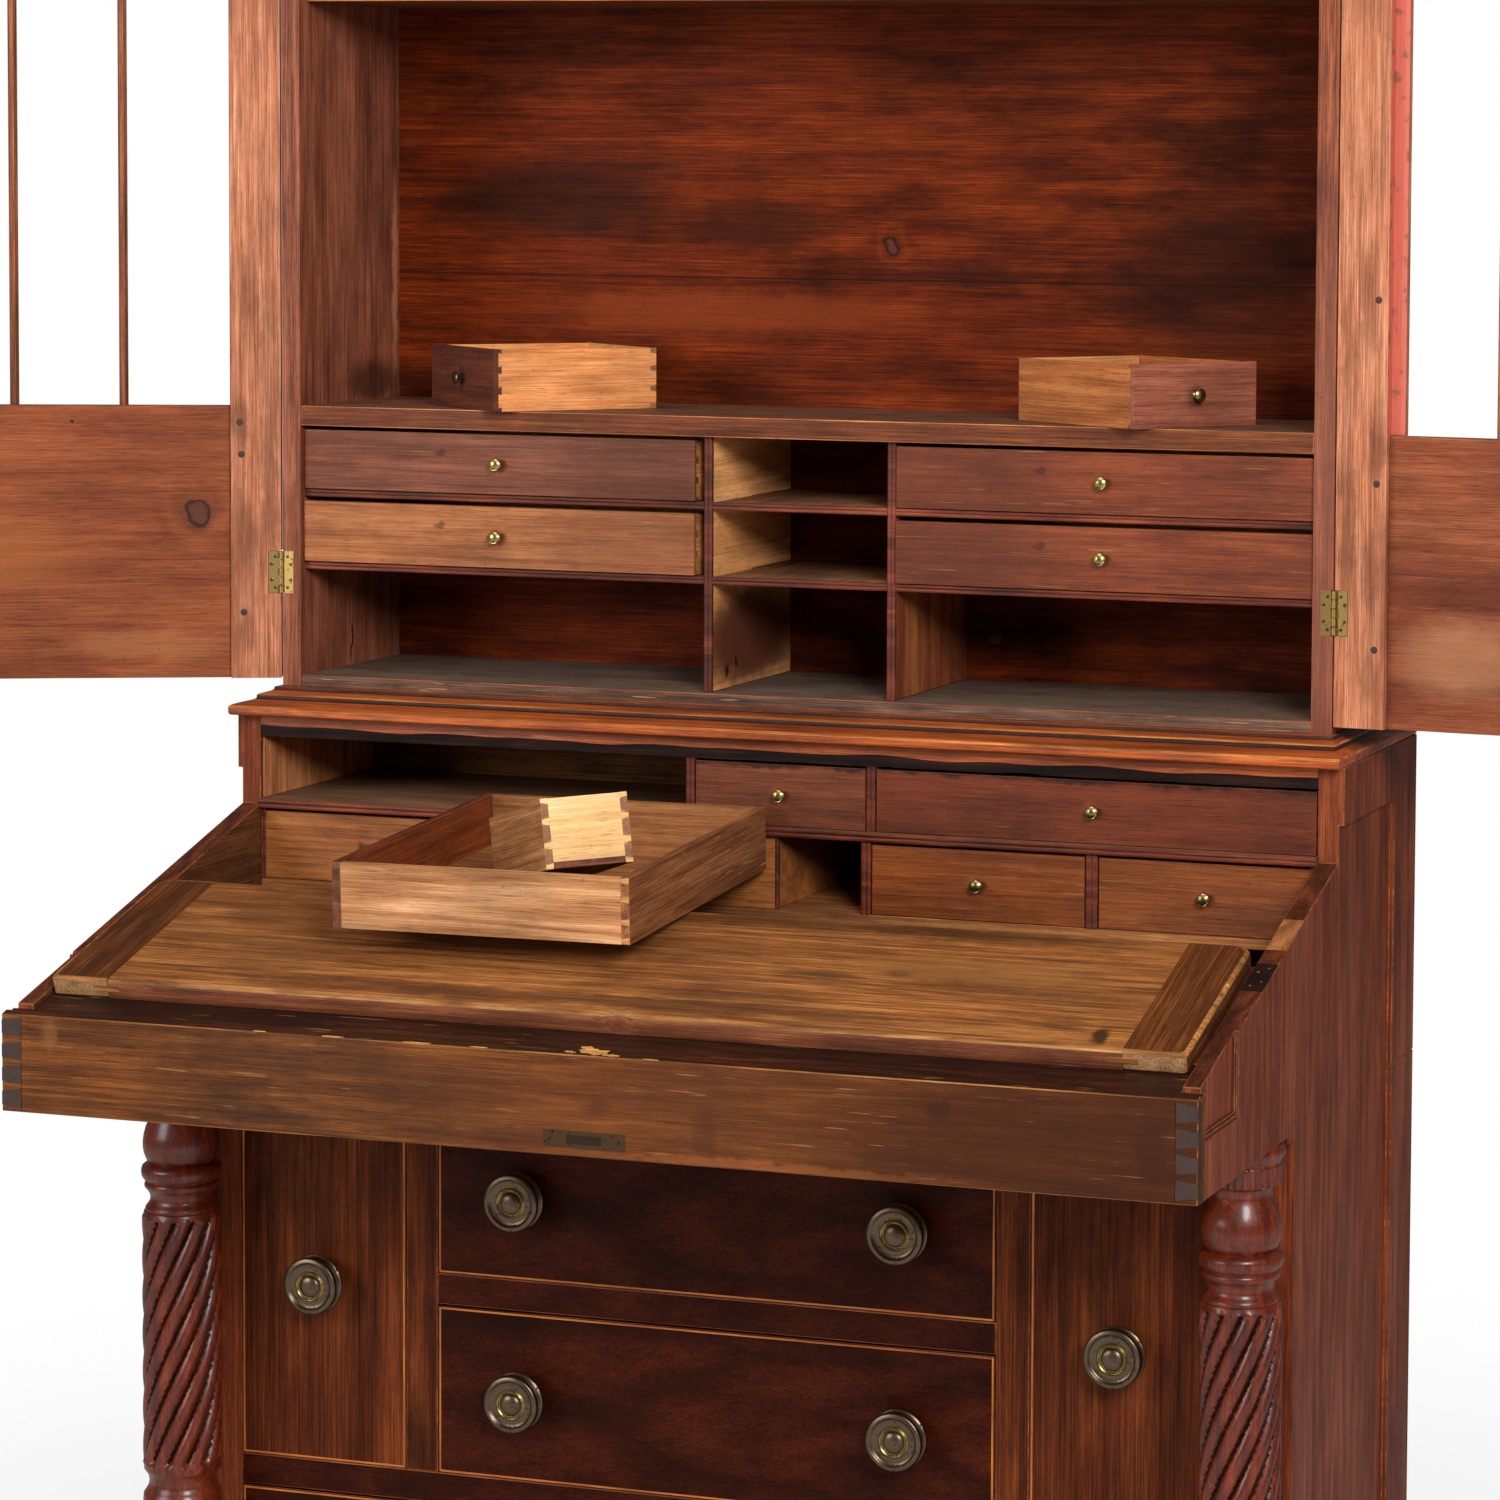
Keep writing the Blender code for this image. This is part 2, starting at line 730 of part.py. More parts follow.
def light_outline(side, near, far, low_z, spring_z, head_z):
    """One glazing light: upright sides under a pointed head of two arcs."""
    width = far - near
    rise = head_z - spring_z
    radius = (rise * rise + width * width / 4) / width
    points = [(near, low_z), (far, low_z)]
    end_angle = math.asin(rise / radius)
    for step in range(head_steps + 1):
        angle = end_angle * step / head_steps
        points.append((far - radius + radius * math.cos(angle), spring_z + radius * math.sin(angle)))
    for step in range(head_steps - 1, -1, -1):
        angle = end_angle * step / head_steps
        points.append((near + radius - radius * math.cos(angle), spring_z + radius * math.sin(angle)))
    return [(hinge_x(side) - side * x, z) for x, z in points]


def door_frame(side):
    """Stiles, top rail, upright bars and pointed heads, rebated on the inner face."""
    bottom_z = book_floor_z - door_drop
    top_z = bottom_z + door_height
    outer_y = -door_gap - door_thickness
    low, high = door_span(side, door_edge, door_edge + door_width)
    frame = box("door_frame_" + side_name(side), (low, outer_y, bottom_z), (high, -door_gap, top_z), mahogany())
    inner_near = door_edge + hinge_stile
    inner_far = door_edge + door_width - meeting_stile
    board_top_z = bottom_z + door_board_height
    bars = [inner_near + (inner_far - inner_near) * share for share in bar_place_shares]
    rebate = right_rebate if side > 0 else left_rebate
    starts = [inner_near + rebate] + [bar + bar_width / 2 for bar in bars]
    ends = [bar - bar_width / 2 for bar in bars] + [inner_far - rebate]
    head_z = top_z - top_rail
    for near, far in zip(starts, ends):
        outline = light_outline(side, near, far, board_top_z - overrun, head_z - head_height, head_z)
        light = prism("light", outline, "Y", outer_y - overrun, -door_gap + overrun, mahogany())
        combine(frame, light, "DIFFERENCE")
    low, high = door_span(side, inner_near, inner_far)
    sunk = box("sunk", (low, -door_gap - rebate_depth, board_top_z), (high, -door_gap + overrun, head_z + rebate),
               mahogany())
    combine(frame, sunk, "DIFFERENCE")
    room = box("room", (low, outer_y - overrun, bottom_z - overrun), (high, -door_gap + overrun, board_top_z),
               mahogany())
    combine(frame, room, "DIFFERENCE")
    for height in (hinge_low, hinge_high):
        combine(frame, hinge_cutter(side, height), "DIFFERENCE")
        low, high = door_span(side, 0, leaf_width + seat_gap)
        low_z = book_floor_z + height - seat_gap
        high_z = book_floor_z + height + hinge_height + seat_gap
        mortise = box("mortise", (low, -door_gap - leaf_thickness - seat_gap, low_z), (high, overrun, high_z),
                      mahogany())
        combine(frame, mortise, "DIFFERENCE")
    return frame


def door_board(side):
    bottom_z = book_floor_z - door_drop
    inner_near = door_edge + hinge_stile + seat_gap
    inner_far = door_edge + door_width - meeting_stile - seat_gap
    low, high = door_span(side, inner_near, inner_far)
    return box("door_board_" + side_name(side),
               (low, -door_gap - door_thickness, bottom_z),
               (high, -door_gap - board_recess, bottom_z + door_board_height - seat_gap), stained_pine())


def hinge(side, height, label):
    """Butt hinge: the barrel on the axis and the leaf let into the door."""
    low_z = book_floor_z + height
    mesh_data = bmesh.new()
    ring_solid(mesh_data, [circle(barrel_radius, barrel_sides, z) for z in (low_z, low_z + hinge_height)])
    name = "hinge_" + side_name(side) + "_" + label
    barrel = finish(name, mesh_data, brass(), rounded=True)
    barrel.location = (hinge_x(side), 0, 0)
    bpy.context.view_layer.update()
    low, high = door_span(side, barrel_radius / 2, leaf_width)
    leaf = box("leaf", (low, -door_gap - leaf_thickness, low_z), (high, -door_gap, low_z + hinge_height), brass())
    barrel = combine(barrel, leaf, "UNION")
    barrel.name = name
    return barrel


def swing(item, side):
    """Moves an object's origin to the hinge axis and turns it to its resting angle."""
    axis = Vector((hinge_x(side), 0, 0))
    item.data.transform(Matrix.Translation(item.location - axis))
    item.location = axis
    degrees = right_open_degrees if side > 0 else -left_open_degrees
    item.rotation_euler = (0, 0, math.radians(degrees))


def doors():
    for side in (-1, 1):
        swing(door_frame(side), side)
        swing(door_board(side), side)
        for height, label in ((hinge_low, "low"), (hinge_high, "high")):
            swing(hinge(side, height, label), side)


# Drawers

def tray_faces(mesh_data, size, front, side, back, floor):
    """Open box: an outer block with a pocket sunk in its top, front at Y = 0."""
    width, depth, height = size
    outer = [(0, 0), (width, 0), (width, depth), (0, depth)]
    inner = [(side, front), (width - side, front), (width - side, depth - back), (side, depth - back)]
    rings = []
    for outline, z in ((outer, 0), (outer, height), (inner, height), (inner, floor)):
        rings.append([(x, y, z) for x, y in outline])
    ring_solid(mesh_data, rings)


def knob(radius, length, sides, shares):
    """Turned knob standing out along -Y from the origin, with its foot sunk in the drawer front."""
    mesh_data = bmesh.new()
    rings = [circle(radius * shares[0][1], sides, -knob_sink)]
    rings += [circle(radius * share, sides, length * out) for out, share in shares]
    ring_solid(mesh_data, rings)
    bmesh.ops.rotate(mesh_data, verts=mesh_data.verts, matrix=Matrix.Rotation(math.radians(90), 3, "X"))
    return finish("knob", mesh_data, brass())


def small_knob():
    return knob(small_knob_radius, small_knob_length, small_knob_sides, small_knob_shares)


def large_knob():
    return knob(large_knob_radius, large_knob_length, large_knob_sides, large_knob_shares)


def drawer(name, low, size, walls, knobs, make_knob, look):
    """A drawer with its front's lower left corner at low, walls as (front, side, back, floor)."""
    mesh_data = bmesh.new()
    tray_faces(mesh_data, size, *walls)
    item = finish(name, mesh_data, look)
    for x, z in knobs:
        pull = make_knob()
        pull.location = (x, 0, z)
        bpy.context.view_layer.update()
        item = combine(item, pull, "UNION")
    item.name = name
    item.location = low
    return item


def small_walls():
    return (drawer_front, drawer_side, drawer_side, drawer_floor)


def small_drawer(name, left, right, floor_z, height, face_y, depth, look):
    """A drawer of the small rows with its knob in the middle, given its X limits and height."""
    size = (right - left, depth, height - seat_gap)
    return drawer(name, (left, face_y, floor_z + seat_gap), size, small_walls(),
                  [(size[0] / 2, size[2] / 2)], small_knob, look)


def large_drawer(name, left, right, floor_z, ceiling_z, knobs):
    size = (right - left, large_drawer_depth, ceiling_z - floor_z - seat_gap - top_gap)
    walls = (large_front, large_side, large_side, large_floor)
    places = [(x - left, size[2] / 2) for x in knobs]
    return drawer(name, (left, case_front_y, floor_z + seat_gap), size, walls, places, large_knob, mahogany())


def lower_drawers():
    low_z = low_blade_bottom_z + low_blade_height
    middle_z = centre_blade_bottom_z + centre_blade_height
    top_z = desk_bottom_z - frieze_height
    centre = stile_inner - slide_gap
    pair = (-centre_knob_x, centre_knob_x)
    large_drawer("centre_drawer_top", -centre, centre, middle_z, top_z, pair)
    large_drawer("centre_drawer_low", -centre, centre, low_z, centre_blade_bottom_z, pair)
    for side in (-1, 1):
        low, high = mirrored(side, stile_outer + slide_gap, post_inner - slide_gap)
        large_drawer("side_drawer_" + side_name(side), low, high, low_z, top_z, [(low + high) / 2])
    reach = post_inner - slide_gap
    large_drawer("long_drawer", -reach, reach, base_top_z, low_blade_bottom_z, (-long_knob_x, long_knob_x))


def desk_drawers():
    height = row_one_top_z - lip_top_z - top_gap
    low_x = row_one_left_divider_x + row_divider / 2
    high_x = row_one_right_divider_x - row_divider / 2
    small_drawer("row_one_drawer_centre", low_x + slide_gap, high_x - slide_gap, lip_top_z, height,
                 row_front_y, row_drawer_depth, cherry())
    low_x = row_one_right_divider_x + row_divider / 2
    small_drawer("row_one_drawer_right", low_x + slide_gap, inner_half - slide_gap, lip_top_z, height,
                 row_front_y, row_drawer_depth, cherry())
    height = lip_top_z - lip_height - row_two_floor_z - row_two_drawer_top
    spans = (
        ("left", -inner_half + row_two_end_gap, facing_left - slide_gap),
        ("middle", hole_divider_x + hole_divider / 2 + slide_gap, bead_divider_x - bead_divider / 2 - slide_gap),
        ("right", bead_divider_x + bead_divider / 2 + slide_gap, inner_half - row_two_end_gap),
    )
    for label, left, right in spans:
        small_drawer("row_two_drawer_" + label, left, right, row_two_floor_z, height,
                     row_front_y, row_drawer_depth, cherry())


def nest_drawers():
    middle_z = book_floor_z + nest_low_height + nest_board
    top_z = middle_z + nest_middle_height + nest_board
    rows = (("top", top_z, nest_top_height, 0), ("low", middle_z, nest_middle_height, 1))
    for label, floor_z, opening, index in rows:
        height = opening - 2 * top_gap
        left = -book_inner + slide_gap
        right = nest_left_x - nest_divider / 2 - left_drawer_slack
        small_drawer("nest_drawer_left_" + label, left, right, floor_z, height,
                     nest_drawer_faces[index], nest_drawer_depth, stained_pine())
        left = nest_right_x + nest_divider / 2 + slide_gap
        right = book_inner - slide_gap
        small_drawer("nest_drawer_right_" + label, left, right, floor_z, height,
                     nest_drawer_faces[index + 2], nest_drawer_depth, stained_pine())


def loose_shelf_drawers():
    """Two drawers taken out and stood on the thick shelf, a corner towards the front."""
    size = (loose_width, loose_depth, loose_height)
    floor_z = thick_shelf_top_z + seat_gap
    knob_place = [(loose_width / 2, loose_height / 2)]
    left = drawer("loose_drawer_left", (0, 0, 0), size, small_walls(), knob_place, small_knob, pine())
    left.data.transform(Matrix.Translation((-loose_width, 0, 0)))
    left.rotation_euler = (0, 0, math.radians(left_loose_turn - 90))
    left.location = (left_loose_x, loose_near_y, floor_z)
    right = drawer("loose_drawer_right", (0, 0, 0), size, small_walls(), knob_place, small_knob, pine())
    right.rotation_euler = (0, 0, math.radians(right_loose_turn))
    right.location = (right_loose_x, loose_near_y, floor_z)


def lid_point(along, lift):
    """Point of the YZ plane at a distance down the slope and a height above the lid's underside."""
    y = row_front_y - along * math.cos(slope_angle)
    z = slope_z(y) - ledge_drop + seat_gap
    return y - lift * math.sin(slope_angle), z + lift * math.cos(slope_angle)


def lid():
    """Writing board lying on its ledges along the slope, rear corners cut back."""
    length = lid_front_along - lid_rear_along
    outline = [
        (-lid_half, -length), (lid_half, -length), (lid_half, -lid_corner), (lid_half - lid_corner, 0),
        (-lid_half + lid_corner, 0), (-lid_half, -lid_corner),
    ]
    board = prism("lid", outline, "Z", 0, lid_thickness, writing_board())
    board.rotation_euler = (slope_angle, 0, 0)
    board.location = (0, *lid_point(lid_rear_along, 0))
    return board


def loose_desk_drawers():
    """The big drawer tipped on the lid's rear edge, and the small one leaning in it."""
    edge_y, edge_z = lid_point(lid_rear_along, lid_thickness)
    turn = math.radians(big_turn)
    tilt = math.radians(big_tilt)
    near_z = edge_z + seat_gap - (edge_y - big_near_y) / math.cos(turn) * math.tan(tilt)
    big_place = (Matrix.Translation((big_x, big_near_y, near_z)) @ Matrix.Rotation(turn, 4, "Z")
                 @ Matrix.Rotation(tilt, 4, "X"))
    size = (big_width, big_length, big_height)
    mesh_data = bmesh.new()
    tray_faces(mesh_data, size, big_wall, big_wall, big_wall, big_floor)
    bmesh.ops.translate(mesh_data, vec=(-big_width, 0, 0), verts=mesh_data.verts)
    big = finish("loose_big_drawer", mesh_data, pine())
    big.matrix_world = big_place
    size = (tilted_width, tilted_depth, tilted_height)
    mesh_data = bmesh.new()
    tray_faces(mesh_data, size, drawer_side, drawer_side, drawer_front, drawer_floor)
    small = finish("loose_small_drawer", mesh_data, pine())
    turn = math.radians(tilted_turn)
    lean = math.asin((big_height - big_floor) / tilted_depth)
    rise = tilted_overhang / math.cos(turn) * math.tan(lean) + 2 * seat_gap
    small_place = (Matrix.Translation((tilted_x, big_wall - tilted_overhang, big_height + rise))
                   @ Matrix.Rotation(turn, 4, "Z") @ Matrix.Rotation(-lean, 4, "X"))
    small.matrix_world = big_place @ small_place


def stand_on_origin():
    """Moves every piece, so that the whole object is centred over the origin and stands on Z = 0."""
    bpy.context.view_layer.update()
    corners = [item.matrix_world @ vertex.co for item in bpy.data.objects for vertex in item.data.vertices]
    middle_x = (min(corner.x for corner in corners) + max(corner.x for corner in corners)) / 2
    middle_y = (min(corner.y for corner in corners) + max(corner.y for corner in corners)) / 2
    for item in bpy.data.objects:
        item.location.x -= middle_x
        item.location.y -= middle_y
    bpy.context.view_layer.update()


def lower_case():
    for side in (-1, 1):
        case_side(side)
        column(side)
        partition(side)
        desk_side(side)
    lower_back()
    base_board()
    blade("low_blade", low_blade_bottom_z, low_blade_height, post_inner - seat_gap)
    blade("centre_blade", centre_blade_bottom_z, centre_blade_height, stile_inner - seat_gap)
    desk_bottom()
    desk_front_rail()
    row_boards()
    waist_board()
    lower_drawers()
    desk_drawers()


def bookcase():
    bookcase_boards()
    nest()
    nest_drawers()
    doors()


clear_scene()
lower_case()
bookcase()
lid()
loose_desk_drawers()
loose_shelf_drawers()
stand_on_origin()
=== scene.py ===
"""Looks of a worn mahogany secretary bookcase: open doors, drawers, writing board and loose pieces.

Metres throughout. The pieces are modelled in case coordinates: X = 0 in the middle of the case, Y = 0 at
the front edges of the bookcase sides, Z = 0 on the ground. The shift takes them to the frame's coordinates.
"""

import math

import bmesh
import bpy
from mathutils import Matrix, Vector, noise


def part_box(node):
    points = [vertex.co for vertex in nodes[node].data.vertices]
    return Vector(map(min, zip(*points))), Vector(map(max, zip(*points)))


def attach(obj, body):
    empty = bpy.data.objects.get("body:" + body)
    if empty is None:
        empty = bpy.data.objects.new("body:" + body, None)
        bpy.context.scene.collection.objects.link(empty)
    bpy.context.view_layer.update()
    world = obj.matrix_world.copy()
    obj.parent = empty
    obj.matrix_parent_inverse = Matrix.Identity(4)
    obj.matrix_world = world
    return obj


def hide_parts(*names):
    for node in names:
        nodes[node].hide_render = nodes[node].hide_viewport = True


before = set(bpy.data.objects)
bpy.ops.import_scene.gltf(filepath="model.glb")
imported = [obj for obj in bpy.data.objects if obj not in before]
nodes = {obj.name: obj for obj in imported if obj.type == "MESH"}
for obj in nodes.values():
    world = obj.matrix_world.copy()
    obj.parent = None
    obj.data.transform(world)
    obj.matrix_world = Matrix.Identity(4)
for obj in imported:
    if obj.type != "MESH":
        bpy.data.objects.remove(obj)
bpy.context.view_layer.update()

shift = Vector((-0.020981, 0.125850, 0.0))
in_case = Matrix.Translation(shift)
hand = {-1: "left", 1: "right"}
noise.seed_set(1)  # without it the ripple of the row-1 lip starts from the clock

# Sizes shared with the case
case_half = 0.5550
case_back = 0.2219
inner_half = 0.5353
desk_front = -0.4736
desk_bottom = 0.6705
row_front = -0.0445
slope_top = 0.8895
slope_foot = 0.7579
slope_angle = math.atan((slope_top - slope_foot) / (row_front - desk_front))
slope_way = (0, -math.sin(slope_angle), math.cos(slope_angle))
book_half = 0.5350
book_wall = 0.5154
book_back_face = 0.2067
book_floor = 1.0120
hinge_axis = 0.5360
seat_gap = 0.0003
lid_thickness = 0.018
lid_rear_y = row_front - 0.1960 * math.cos(slope_angle)
lid_rear_z = slope_top + (lid_rear_y - row_front) * math.tan(slope_angle) - 0.0042 + seat_gap


def srgb(colour):
    """Turns an sRGB hex colour into the linear one that the shader takes."""
    shares = [int(colour[start:start + 2], 16) / 255 for start in (0, 2, 4)]
    return (*[s / 12.92 if s <= 0.04045 else ((s + 0.055) / 1.055) ** 2.4 for s in shares], 1.0)


def feed(tree, node, inputs):
    """Sets or links a node's inputs, named or in their own order. A node stands for its first output."""
    for socket, value in inputs.items() if isinstance(inputs, dict) else enumerate(inputs):
        if isinstance(value, bpy.types.Node):
            value = value.outputs[0]
        if isinstance(value, bpy.types.NodeSocket):
            tree.links.new(value, node.inputs[socket])
        else:
            node.inputs[socket].default_value = value


def add(tree, kind, inputs=(), **settings):
    """Adds a node with its settings and inputs."""
    node = tree.nodes.new("ShaderNode" + kind)
    for name, value in settings.items():
        setattr(node, name, value)
    feed(tree, node, inputs)
    return node


def new_look(name):
    """Starts a material: gives it, its tree, its shader and the place on the object in metres."""
    look = bpy.data.materials.new(name)
    look.use_nodes = True
    tree = look.node_tree
    return look, tree, tree.nodes["Principled BSDF"], add(tree, "TexCoord").outputs["Object"]


def cover(tree, colour, tint, value, span, shares, **settings):
    """Lays a tint over the colour, with a share that follows a value across its span."""
    share = add(tree, "MapRange", (value, *span, *shares), **settings)
    return add(tree, "Mix", {0: share, 6: colour, 7: srgb(tint)}, data_type="RGBA").outputs[2]


def dim(tree, colour, value, span, factors):
    """Scales the colour by a factor that follows a value across its span."""
    factor = add(tree, "MapRange", (value, *span, *factors))
    return add(tree, "VectorMath", {0: colour, "Scale": factor}, operation="SCALE").outputs[0]


# Wood

def wood(name, tones, along="X", seed=0, ring=5.0, line=1.6, relief=0.3, figure=0.2, blotch_share=0.5,
         depth=0.7,
         rough=0.6, shine=0.2, coat=0.0, chips=0.0, dust=0.0, turn=0.0, seams=(), spots=(), knots=()):
    """Sawn or planed board: fibre lines, growth rings, pores, blotches, knots, board joints, stains, and
    spots of painted shade and painted highlight.

    Tones are its dark, middle, light and blotch. Ring, line and relief are real sizes in millimetres. The
    noises are 18 mm (wander), 45 mm (bends), 77 mm (blotches), 32 mm (patches), 38 mm (dust), 4 mm (nicks),
    2.4 mm (flecks) and 0.8 mm (pores, coarser than real ones so that they show).
    """
    look, tree, shader, place = new_look(name)
    dark, middle, light, blotch = tones.split()
    wander = add(tree, "TexNoise", {"Vector": place, "Scale": 55.0, "Detail": 3.0}).outputs["Color"]
    wander = add(tree, "VectorMath", (wander, (0.5, 0.5, 0.5)), operation="SUBTRACT")
    wander = add(tree, "VectorMath", {0: wander, "Scale": 0.016}, operation="SCALE")
    ragged = add(tree, "VectorMath", (place, wander), operation="ADD")
    turns = {"X": (0, 0, -turn), "Y": (0, 0, -math.pi / 2 - turn), "Z": (0, math.pi / 2, 0)}[along]
    moved = (1.37 * seed, 0.71 * seed, 0.53 * seed)
    grain = add(tree, "Mapping", {"Vector": place, "Rotation": turns, "Location": moved})
    long, broad, dash = [add(tree, "VectorMath", (grain, (share, 1.0, 1.0)), operation="MULTIPLY")
                         for share in (0.07, 0.3, 0.04)]
    bend = add(tree, "TexNoise", {"Vector": long, "Scale": 22.0, "Detail": 2.0}).outputs["Color"]
    bend = add(tree, "VectorMath", {0: bend, "Scale": 0.022}, operation="SCALE")
    bent = add(tree, "VectorMath", (long, bend), operation="ADD")
    rings = add(tree, "TexNoise", {"Vector": bent, "Scale": 1000 / (11 * ring), "Detail": 1.5,
                                   "Roughness": 0.45})
    for centre, radius in knots:
        away = add(tree, "VectorMath", (ragged, centre), operation="DISTANCE").outputs["Value"]
        lift = add(tree, "MapRange", (away, 0.0, 3.4 * radius, 0.18, 0.0), interpolation_type="SMOOTHERSTEP")
        rings = add(tree, "Math", (rings, lift), operation="ADD")
    rings = add(tree, "Math", (rings, 15.0), operation="MULTIPLY")
    rings = add(tree, "Math", (rings, 1.0), operation="PINGPONG")
    fibres = []
    for stretch, width in ((0.012, 0.55 * line), (0.020, 3.0 * line)):
        thin = add(tree, "VectorMath", (grain, (stretch, 1.0, 1.0)), operation="MULTIPLY")
        fibre = add(tree, "TexNoise", {"Vector": thin, "Scale": 1000 / width, "Detail": 4.0,
                                       "Roughness": 0.72})
        fibres.append(add(tree, "MapRange", (fibre, 0.30, 0.70)))
    tone = add(tree, "Mix", {0: 0.34, 2: fibres[0], 3: fibres[1]}, data_type="FLOAT")
    tone = add(tree, "Mix", {0: figure, 2: tone, 3: rings}, data_type="FLOAT")
    ramp = add(tree, "ValToRGB", {"Fac": tone})
    for stop, position, tint in zip(ramp.color_ramp.elements, (0.18, 0.82), (dark, light)):
        stop.position = position
        stop.color = srgb(tint)
    ramp.color_ramp.elements.new(0.5).color = srgb(middle)
    cloud = add(tree, "TexNoise", {"Vector": broad, "Scale": 13.0, "Detail": 5.0, "Roughness": 0.66})
    colour = cover(tree, ramp, blotch, cloud, (0.45, 0.68), (0.0, blotch_share))
    patch = add(tree, "TexNoise", {"Vector": broad, "Scale": 31.0, "Detail": 4.0, "Roughness": 0.7})
    colour = dim(tree, colour, patch, (0.32, 0.64), (depth, 1.2))
    pores = add(tree, "TexNoise", {"Vector": dash, "Scale": 1300.0, "Detail": 1.0})
    pores = add(tree, "MapRange", (pores, 0.32, 0.42, 0.66, 1.0))
    colour = add(tree, "VectorMath", {0: colour, "Scale": pores}, operation="SCALE").outputs[0]
    for level, width in seams:
        part = add(tree, "SeparateXYZ", (place,)).outputs["Z"]
        part = add(tree, "Math", (part, level), operation="SUBTRACT")
        part = add(tree, "Math", (part,), operation="ABSOLUTE")
        colour = cover(tree, colour, "1c0b06", part, (0.3 * width, width), (0.8, 0.0))
    for centre, radius in knots:
        away = add(tree, "VectorMath", (ragged, centre), operation="DISTANCE").outputs["Value"]
        for reach, soft, tint, share in ((1.5, 0.7, "3a1a0c", 0.4), (1.0, 0.14, "1d0d07", 0.9),
                                         (0.84, 0.3, "5a3020", 0.9)):
            colour = cover(tree, colour, tint, away, (radius * (reach - soft), radius * reach), (share, 0.0))
    for centre, reach, tint, share in spots:
        away = add(tree, "VectorMath", (ragged, centre), operation="SUBTRACT")
        away = add(tree, "VectorMath", (away, [1 / size for size in reach]), operation="MULTIPLY")
        away = add(tree, "VectorMath", (away,), operation="LENGTH").outputs["Value"]
        colour = cover(tree, colour, tint, away, (0.35, 1.0), (share, 0.0), interpolation_type="SMOOTHSTEP")
    nicks = add(tree, "TexNoise", {"Vector": ragged, "Scale": 260.0, "Detail": 4.0, "Roughness": 0.75})
    colour = dim(tree, colour, nicks, (0.30, 0.37), (0.5, 1.0))
    if chips:
        flecks = add(tree, "TexNoise", {"Vector": dash, "Scale": 420.0, "Detail": 2.0})
        colour = cover(tree, colour, "c8955c", flecks, (0.69, 0.73), (0.0, chips))
    if dust:
        upward = add(tree, "SeparateXYZ", (add(tree, "NewGeometry").outputs["Normal"],)).outputs["Z"]
        lying = add(tree, "MapRange", (upward, 0.6, 0.9, 0.0, dust))
        patchy = add(tree, "TexNoise", {"Vector": place, "Scale": 26.0, "Detail": 6.0, "Roughness": 0.7})
        patchy = add(tree, "MapRange", (patchy, 0.36, 0.6, 0.15, 1.0))
        lying = add(tree, "Math", (lying, patchy), operation="MULTIPLY")
        colour = add(tree, "Mix", {0: lying, 6: colour, 7: srgb("6a594c")}, data_type="RGBA").outputs[2]
    dull = add(tree, "MapRange", (cloud, 0.3, 0.7, max(rough - 0.12, 0.05), min(rough + 0.14, 1.0)))
    height = add(tree, "Math", (fibres[0], pores), operation="MULTIPLY")
    bump = add(tree, "Bump", {"Strength": 0.45, "Distance": relief / 1000, "Height": height})
    feed(tree, shader, {"Base Color": colour, "Roughness": dull, "Normal": bump, "Specular IOR Level": shine,
                        "Coat Weight": coat, "Coat Roughness": 0.22})
    return look


def end_grain(name, dark, light):
    """Sawn end of a board: close dark dots of the cut fibres, 1.6 mm apart, in 17 mm clouds."""
    look, tree, shader, place = new_look(name)
    dots = add(tree, "TexNoise", {"Vector": place, "Scale": 620.0, "Detail": 3.0})
    broad = add(tree, "TexNoise", {"Vector": place, "Scale": 60.0, "Detail": 2.0})
    ramp = add(tree, "ValToRGB", {"Fac": add(tree, "Mix", {0: 0.4, 2: dots, 3: broad}, data_type="FLOAT")})
    for stop, position, tint in zip(ramp.color_ramp.elements, (0.32, 0.66), (dark, light)):
        stop.position = position
        stop.color = srgb(tint)
    bump = add(tree, "Bump", {"Strength": 0.5, "Distance": 0.0003, "Height": dots})
    feed(tree, shader, {"Base Color": ramp, "Normal": bump, "Roughness": 0.65})
    return look


def metal(name, dark, light, rough, tarnish=0.5):
    """Cast or turned metal with tarnish in 5 mm clouds and fine 1 mm scratches."""
    look, tree, shader, place = new_look(name)
    cloud = add(tree, "TexNoise", {"Vector": place, "Scale": 210.0, "Detail": 5.0, "Roughness": 0.65})
    share = add(tree, "MapRange", (cloud, 0.62 - 0.3 * tarnish, 0.30))
    colour = add(tree, "Mix", {0: share, 6: srgb(light), 7: srgb(dark)}, data_type="RGBA").outputs[2]
    fine = add(tree, "TexNoise", {"Vector": place, "Scale": 900.0, "Detail": 2.0})
    dull = add(tree, "MapRange", {"Value": share, "To Min": rough, "To Max": min(rough + 0.3, 1.0)})
    bump = add(tree, "Bump", {"Strength": 0.25, "Distance": 0.0002, "Height": fine})
    feed(tree, shader, {"Base Color": colour, "Roughness": dull, "Normal": bump, "Metallic": 1.0})
    return look


def paint(name, colour, worn, under):
    """Old oil paint: 2.4 mm brush marks, dull, rubbed through to the wood in places."""
    look, tree, shader, place = new_look(name)
    strokes = add(tree, "VectorMath", (place, (1.0, 1.0, 0.08)), operation="MULTIPLY")
    brush = add(tree, "TexNoise", {"Vector": strokes, "Scale": 420.0, "Detail": 3.0})
    patch = add(tree, "TexNoise", {"Vector": place, "Scale": 70.0, "Detail": 5.0})
    coats = add(tree, "Mix", {0: brush, 6: srgb(colour), 7: srgb(worn)}, data_type="RGBA").outputs[2]
    coats = cover(tree, coats, under, patch, (0.58, 0.66), (0.0, 1.0))
    bump = add(tree, "Bump", {"Strength": 0.4, "Distance": 0.0003, "Height": brush})
    feed(tree, shader, {"Base Color": coats, "Normal": bump, "Roughness": 0.6})
    return look


